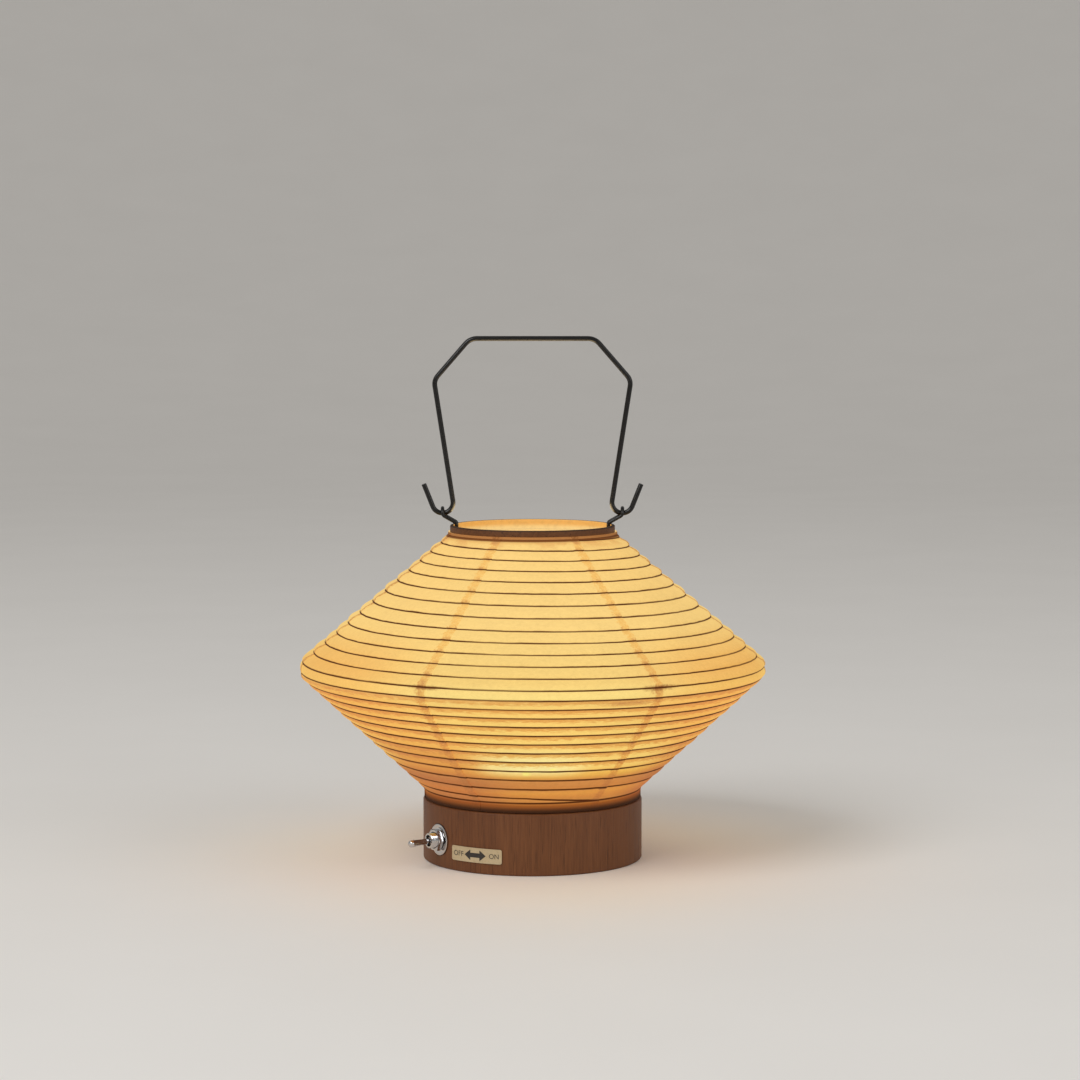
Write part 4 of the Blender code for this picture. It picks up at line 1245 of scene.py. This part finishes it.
# %% Lever
PIVOT = (-39.516 * MM, -25.662 * MM, SWITCH_RISE)
LEVER_BEARING = math.radians(225)
lever_outline = [
    (0.7, -1.87), (1.4, -1.43), (1.85, -0.76), (2.0, 0.0), (1.85, 0.76), (1.4, 1.43), (1.08, 1.8),
    (1.05, 2.6), (1.1, 5.0), (1.25, 8.0), (1.42, 10.4), (1.45, 11.1), (1.36, 11.65), (1.1, 12.05),
    (0.7, 12.25), (0.25, 12.3),
]
lever = turn_on_lathe("switch_bat", lever_outline, 40, solid=True)
place(lever, Matrix.Translation(PIVOT) @ Matrix.Rotation(LEVER_BEARING, 4, "Z") @ LAID_FLAT)
smooth(lever, 40)
dress(lever, chrome, "switch_chrome", "lever", "switch_lever")

# %% [markdown]
# The label
#
# A slip of cream paper beside the switch says which way is on. It is drawn flat, with rounded corners,
# sliced into narrow strips with Bisect, and then wrapped round the base. The words are text made into a
# mesh and wrapped in the same way.

# %% Label paper and ink
label_finish = new_finish("cream_label_paper")
slip = use_group(fibres, scale=0.8)
tone = mix(slip["Cloud"], (0.42, 0.33, 0.19), (0.56, 0.46, 0.29))
tone = mix(product(slip["Fibre"], 0.3), tone, (0.36, 0.27, 0.15))
plug(base_color=tone, roughness=0.55, normal=bump(slip["Cloud"], 0.03))
ink = new_finish("black_ink")
press = use_group(fibres, scale=1.5)
tone = mix(press["Cloud"], (0.010, 0.009, 0.008), (0.04, 0.034, 0.028))
plug(base_color=tone, roughness=0.5)

# %% Draw and wrap the label
LABEL_WIDTH = 23
LABEL_HEIGHT = 5.8
LABEL_BEARING = math.radians(239.7)
LABEL_RISE = 7.4
LABEL_RADIUS = 44.55
PRINT_RADIUS = 44.6
LABEL_THICKNESS = 0.24


def wrap_on_base(piece, radius):
    """Slice a flat piece, drawn round the origin, into millimetre strips and lay it round the base."""
    take(piece)
    open_mesh()
    for place_x in range(-(LABEL_WIDTH // 2), LABEL_WIDTH // 2 + 1):
        bpy.ops.mesh.select_all(action="SELECT")
        bpy.ops.mesh.bisect(plane_co=((place_x + 0.01) * MM, 0, 0), plane_no=(1, 0, 0))
    bpy.ops.object.mode_set(mode="OBJECT")
    for corner in piece.data.vertices:
        x, y, z = corner.co / MM
        angle = LABEL_BEARING + x / radius
        out = radius + z
        corner.co = Vector((out * math.cos(angle), out * math.sin(angle), LABEL_RISE + y)) * MM


let_go()
bpy.ops.mesh.primitive_plane_add(size=1)
bpy.context.object.scale = (LABEL_WIDTH * MM, LABEL_HEIGHT * MM, 1)
label = keep_as("switch_slip")
open_mesh()
bpy.ops.mesh.bevel(offset=0.8 * MM, segments=4, affect="VERTICES")
wrap_on_base(label, LABEL_RADIUS)
thicken(label, LABEL_THICKNESS)
smooth(label, 30)
dress(label, label_finish, "label_paper", "base", "switch_label")


# %% Print the label
def word(text, middle, size):
    let_go()
    bpy.ops.object.text_add()
    letters = bpy.context.object
    letters.data.body = text
    letters.data.size = size * MM
    letters.data.align_x = "CENTER"
    letters.data.align_y = "CENTER"
    bpy.ops.object.convert(target="MESH")
    letters = bpy.context.object
    letters.location = (middle * MM, 0, 0)
    bpy.ops.object.transform_apply(location=True)
    return letters


def arrow(length, head, thick):
    """A bold arrow with two heads: a bar whose ends are extruded, spread, and drawn to points."""
    let_go()
    bpy.ops.mesh.primitive_plane_add(size=1)
    bpy.context.object.scale = ((length - 2 * head) * MM, thick * MM, 1)
    sign = keep_as("label_arrow")
    open_mesh()
    reach = (length / 2 - head) * MM
    for side in (1, -1):
        pick(sign, "EDGE", lambda edge: all(side * end.co.x > reach * 0.99 for end in edge.verts))
        for move, spread in ((0, 2.4), (head, 0.02)):
            extrude((side * move * MM, 0, 0))
            bpy.ops.transform.resize(value=(1, spread, 1), center_override=(0, 0, 0))
    face_outwards()
    bpy.ops.object.mode_set(mode="OBJECT")
    return sign


prints = [word("OFF", -7.9, 2.9), word("ON", 8.3, 2.7), arrow(9.6, 2.7, 1.75)]
let_go()
for sign in prints:
    sign.select_set(True)
bpy.context.view_layer.objects.active = prints[0]
bpy.ops.object.join()
print_piece = bpy.context.object
print_piece.name = print_piece.data.name = "label_print"
wrap_on_base(print_piece, PRINT_RADIUS)
smooth(print_piece, 30)
dress(print_piece, ink, "label_paper", "base")

# %% [markdown]
# The light
#
# Looking in at the mouth one sees a white pedestal, a small round board and three warm emitters. They
# are turned too. The domes shine, and the board has the faint glow of what falls on it. The light on
# the walls is in the paper's own finish.

# %% White plastic, board and emitters
white = new_finish("pedestal_white_plastic")
moulded = use_group(skin, scale=1.0)
tone = mix(moulded["Cloud"], (0.70, 0.68, 0.63), (0.78, 0.77, 0.73))
plug(base_color=tone, roughness=0.45, normal=bump(moulded["Grit"], 0.02))
board_finish = new_finish("coated_white_board")
mask = use_group(skin, scale=2.0)
tone = mix(mask["Cloud"], (0.76, 0.76, 0.73), (0.84, 0.84, 0.81))
plug(base_color=tone, roughness=0.35, normal=bump(mask["Grit"], 0.01))
plug(emission_color=(0.34, 0.22, 0.085), emission_strength=1.0)
emitter = new_finish("warm_emitter_dome")
dome = use_group(skin, scale=0.8)
tone = mix(dome["Cloud"], (1.0, 0.66, 0.22), (1.0, 0.82, 0.42))
plug(base_color=(0.9, 0.7, 0.3), roughness=0.2, emission_color=tone, emission_strength=0.9)

# %% Pedestal, board and domes
pedestal_outline = [(13.2, 27.3), (14.0, 27.9), (14.0, 31.6), (13.4, 32.3)]
pedestal = turn_on_lathe("light_stand", pedestal_outline, 96, solid=True)
smooth(pedestal, 30)
dress(pedestal, white, "white_plastic", "base", "light_pedestal")
board_outline = [(13.0, 32.6), (13.0, 33.8)]
board = turn_on_lathe("light_disc", board_outline, 96, solid=True)
round_rings(board, board_outline, 0.15, 2)
smooth(board, 30)
dress(board, board_finish, "white_board", "base", "light_board")
dome_outline = [
    (1.87, 34.1), (1.87, 34.55), (1.62, 34.6), (1.62, 35.2),
    (1.5, 35.85), (1.2, 36.4), (0.75, 36.7), (0.2, 36.8),
]
for number in (1, 2, 3):
    low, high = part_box(f"light_emitter_{number}")
    middle = (low + high) / 2
    bulb = turn_on_lathe(f"light_dome_{number}", dome_outline, 40, solid=True)
    place(bulb, Matrix.Translation((middle.x, middle.y, 0)))
    smooth(bulb, 45)
    dress(bulb, emitter, "warm_emitter", "base", f"light_emitter_{number}")

# %% [markdown]
# Pieces that keep their CAD mesh
#
# The battery pack, the wiring, the back of the switch, the cover and the screws are inside or
# underneath. Their solids are good enough as they are, so they only get finishes.


# %% Finishes of the inner pieces
def plastic(name, dark, bright, rough):
    """A moulded plastic with a cloud of two tones and a fine grit."""
    finish = new_finish(name)
    moulded = use_group(skin, scale=1.0)
    tone = mix(moulded["Cloud"], dark, bright)
    plug(base_color=tone, roughness=slope(moulded["Grit"], 0.15, rough))
    plug(normal=bump(moulded["Grit"], 0.02))
    return finish


cover = new_finish("cover_fibre_board")
pressed = use_group(fibres, scale=0.5)
tone = mix(pressed["Cloud"], (0.075, 0.045, 0.026), (0.13, 0.085, 0.052))
tone = mix(product(pressed["Fibre"], 0.5), tone, (0.17, 0.115, 0.07))
plug(base_color=tone, roughness=0.75, normal=bump(pressed["Cloud"], 0.06))

inner_finishes = {
    "zinc_steel": metal("zinc_plated_steel", (0.47, 0.48, 0.49), (0.60, 0.60, 0.60), 0.28),
    "terminal_brass": metal("stamped_brass", (0.60, 0.42, 0.17), (0.76, 0.58, 0.27), 0.3),
    "black_plastic": plastic("black_moulding", (0.016, 0.016, 0.017), (0.030, 0.030, 0.031), 0.42),
    "plain_cell": plastic("plain_cell_sleeve", (0.24, 0.25, 0.27), (0.33, 0.34, 0.36), 0.28),
    "red_lead": plastic("red_lead_sleeve", (0.38, 0.022, 0.014), (0.50, 0.036, 0.022), 0.42),
    "black_lead": plastic("black_lead_sleeve", (0.016, 0.016, 0.017), (0.028, 0.028, 0.029), 0.42),
    "cover_board": cover,
}
kept = 0
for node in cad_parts.values():
    slot = node.data.materials[0].name if node.data.materials else ""
    if slot in inner_finishes:
        node.data.materials[0] = inner_finishes[slot]
        kept += 1
print("CAD nodes that keep their mesh:", kept)
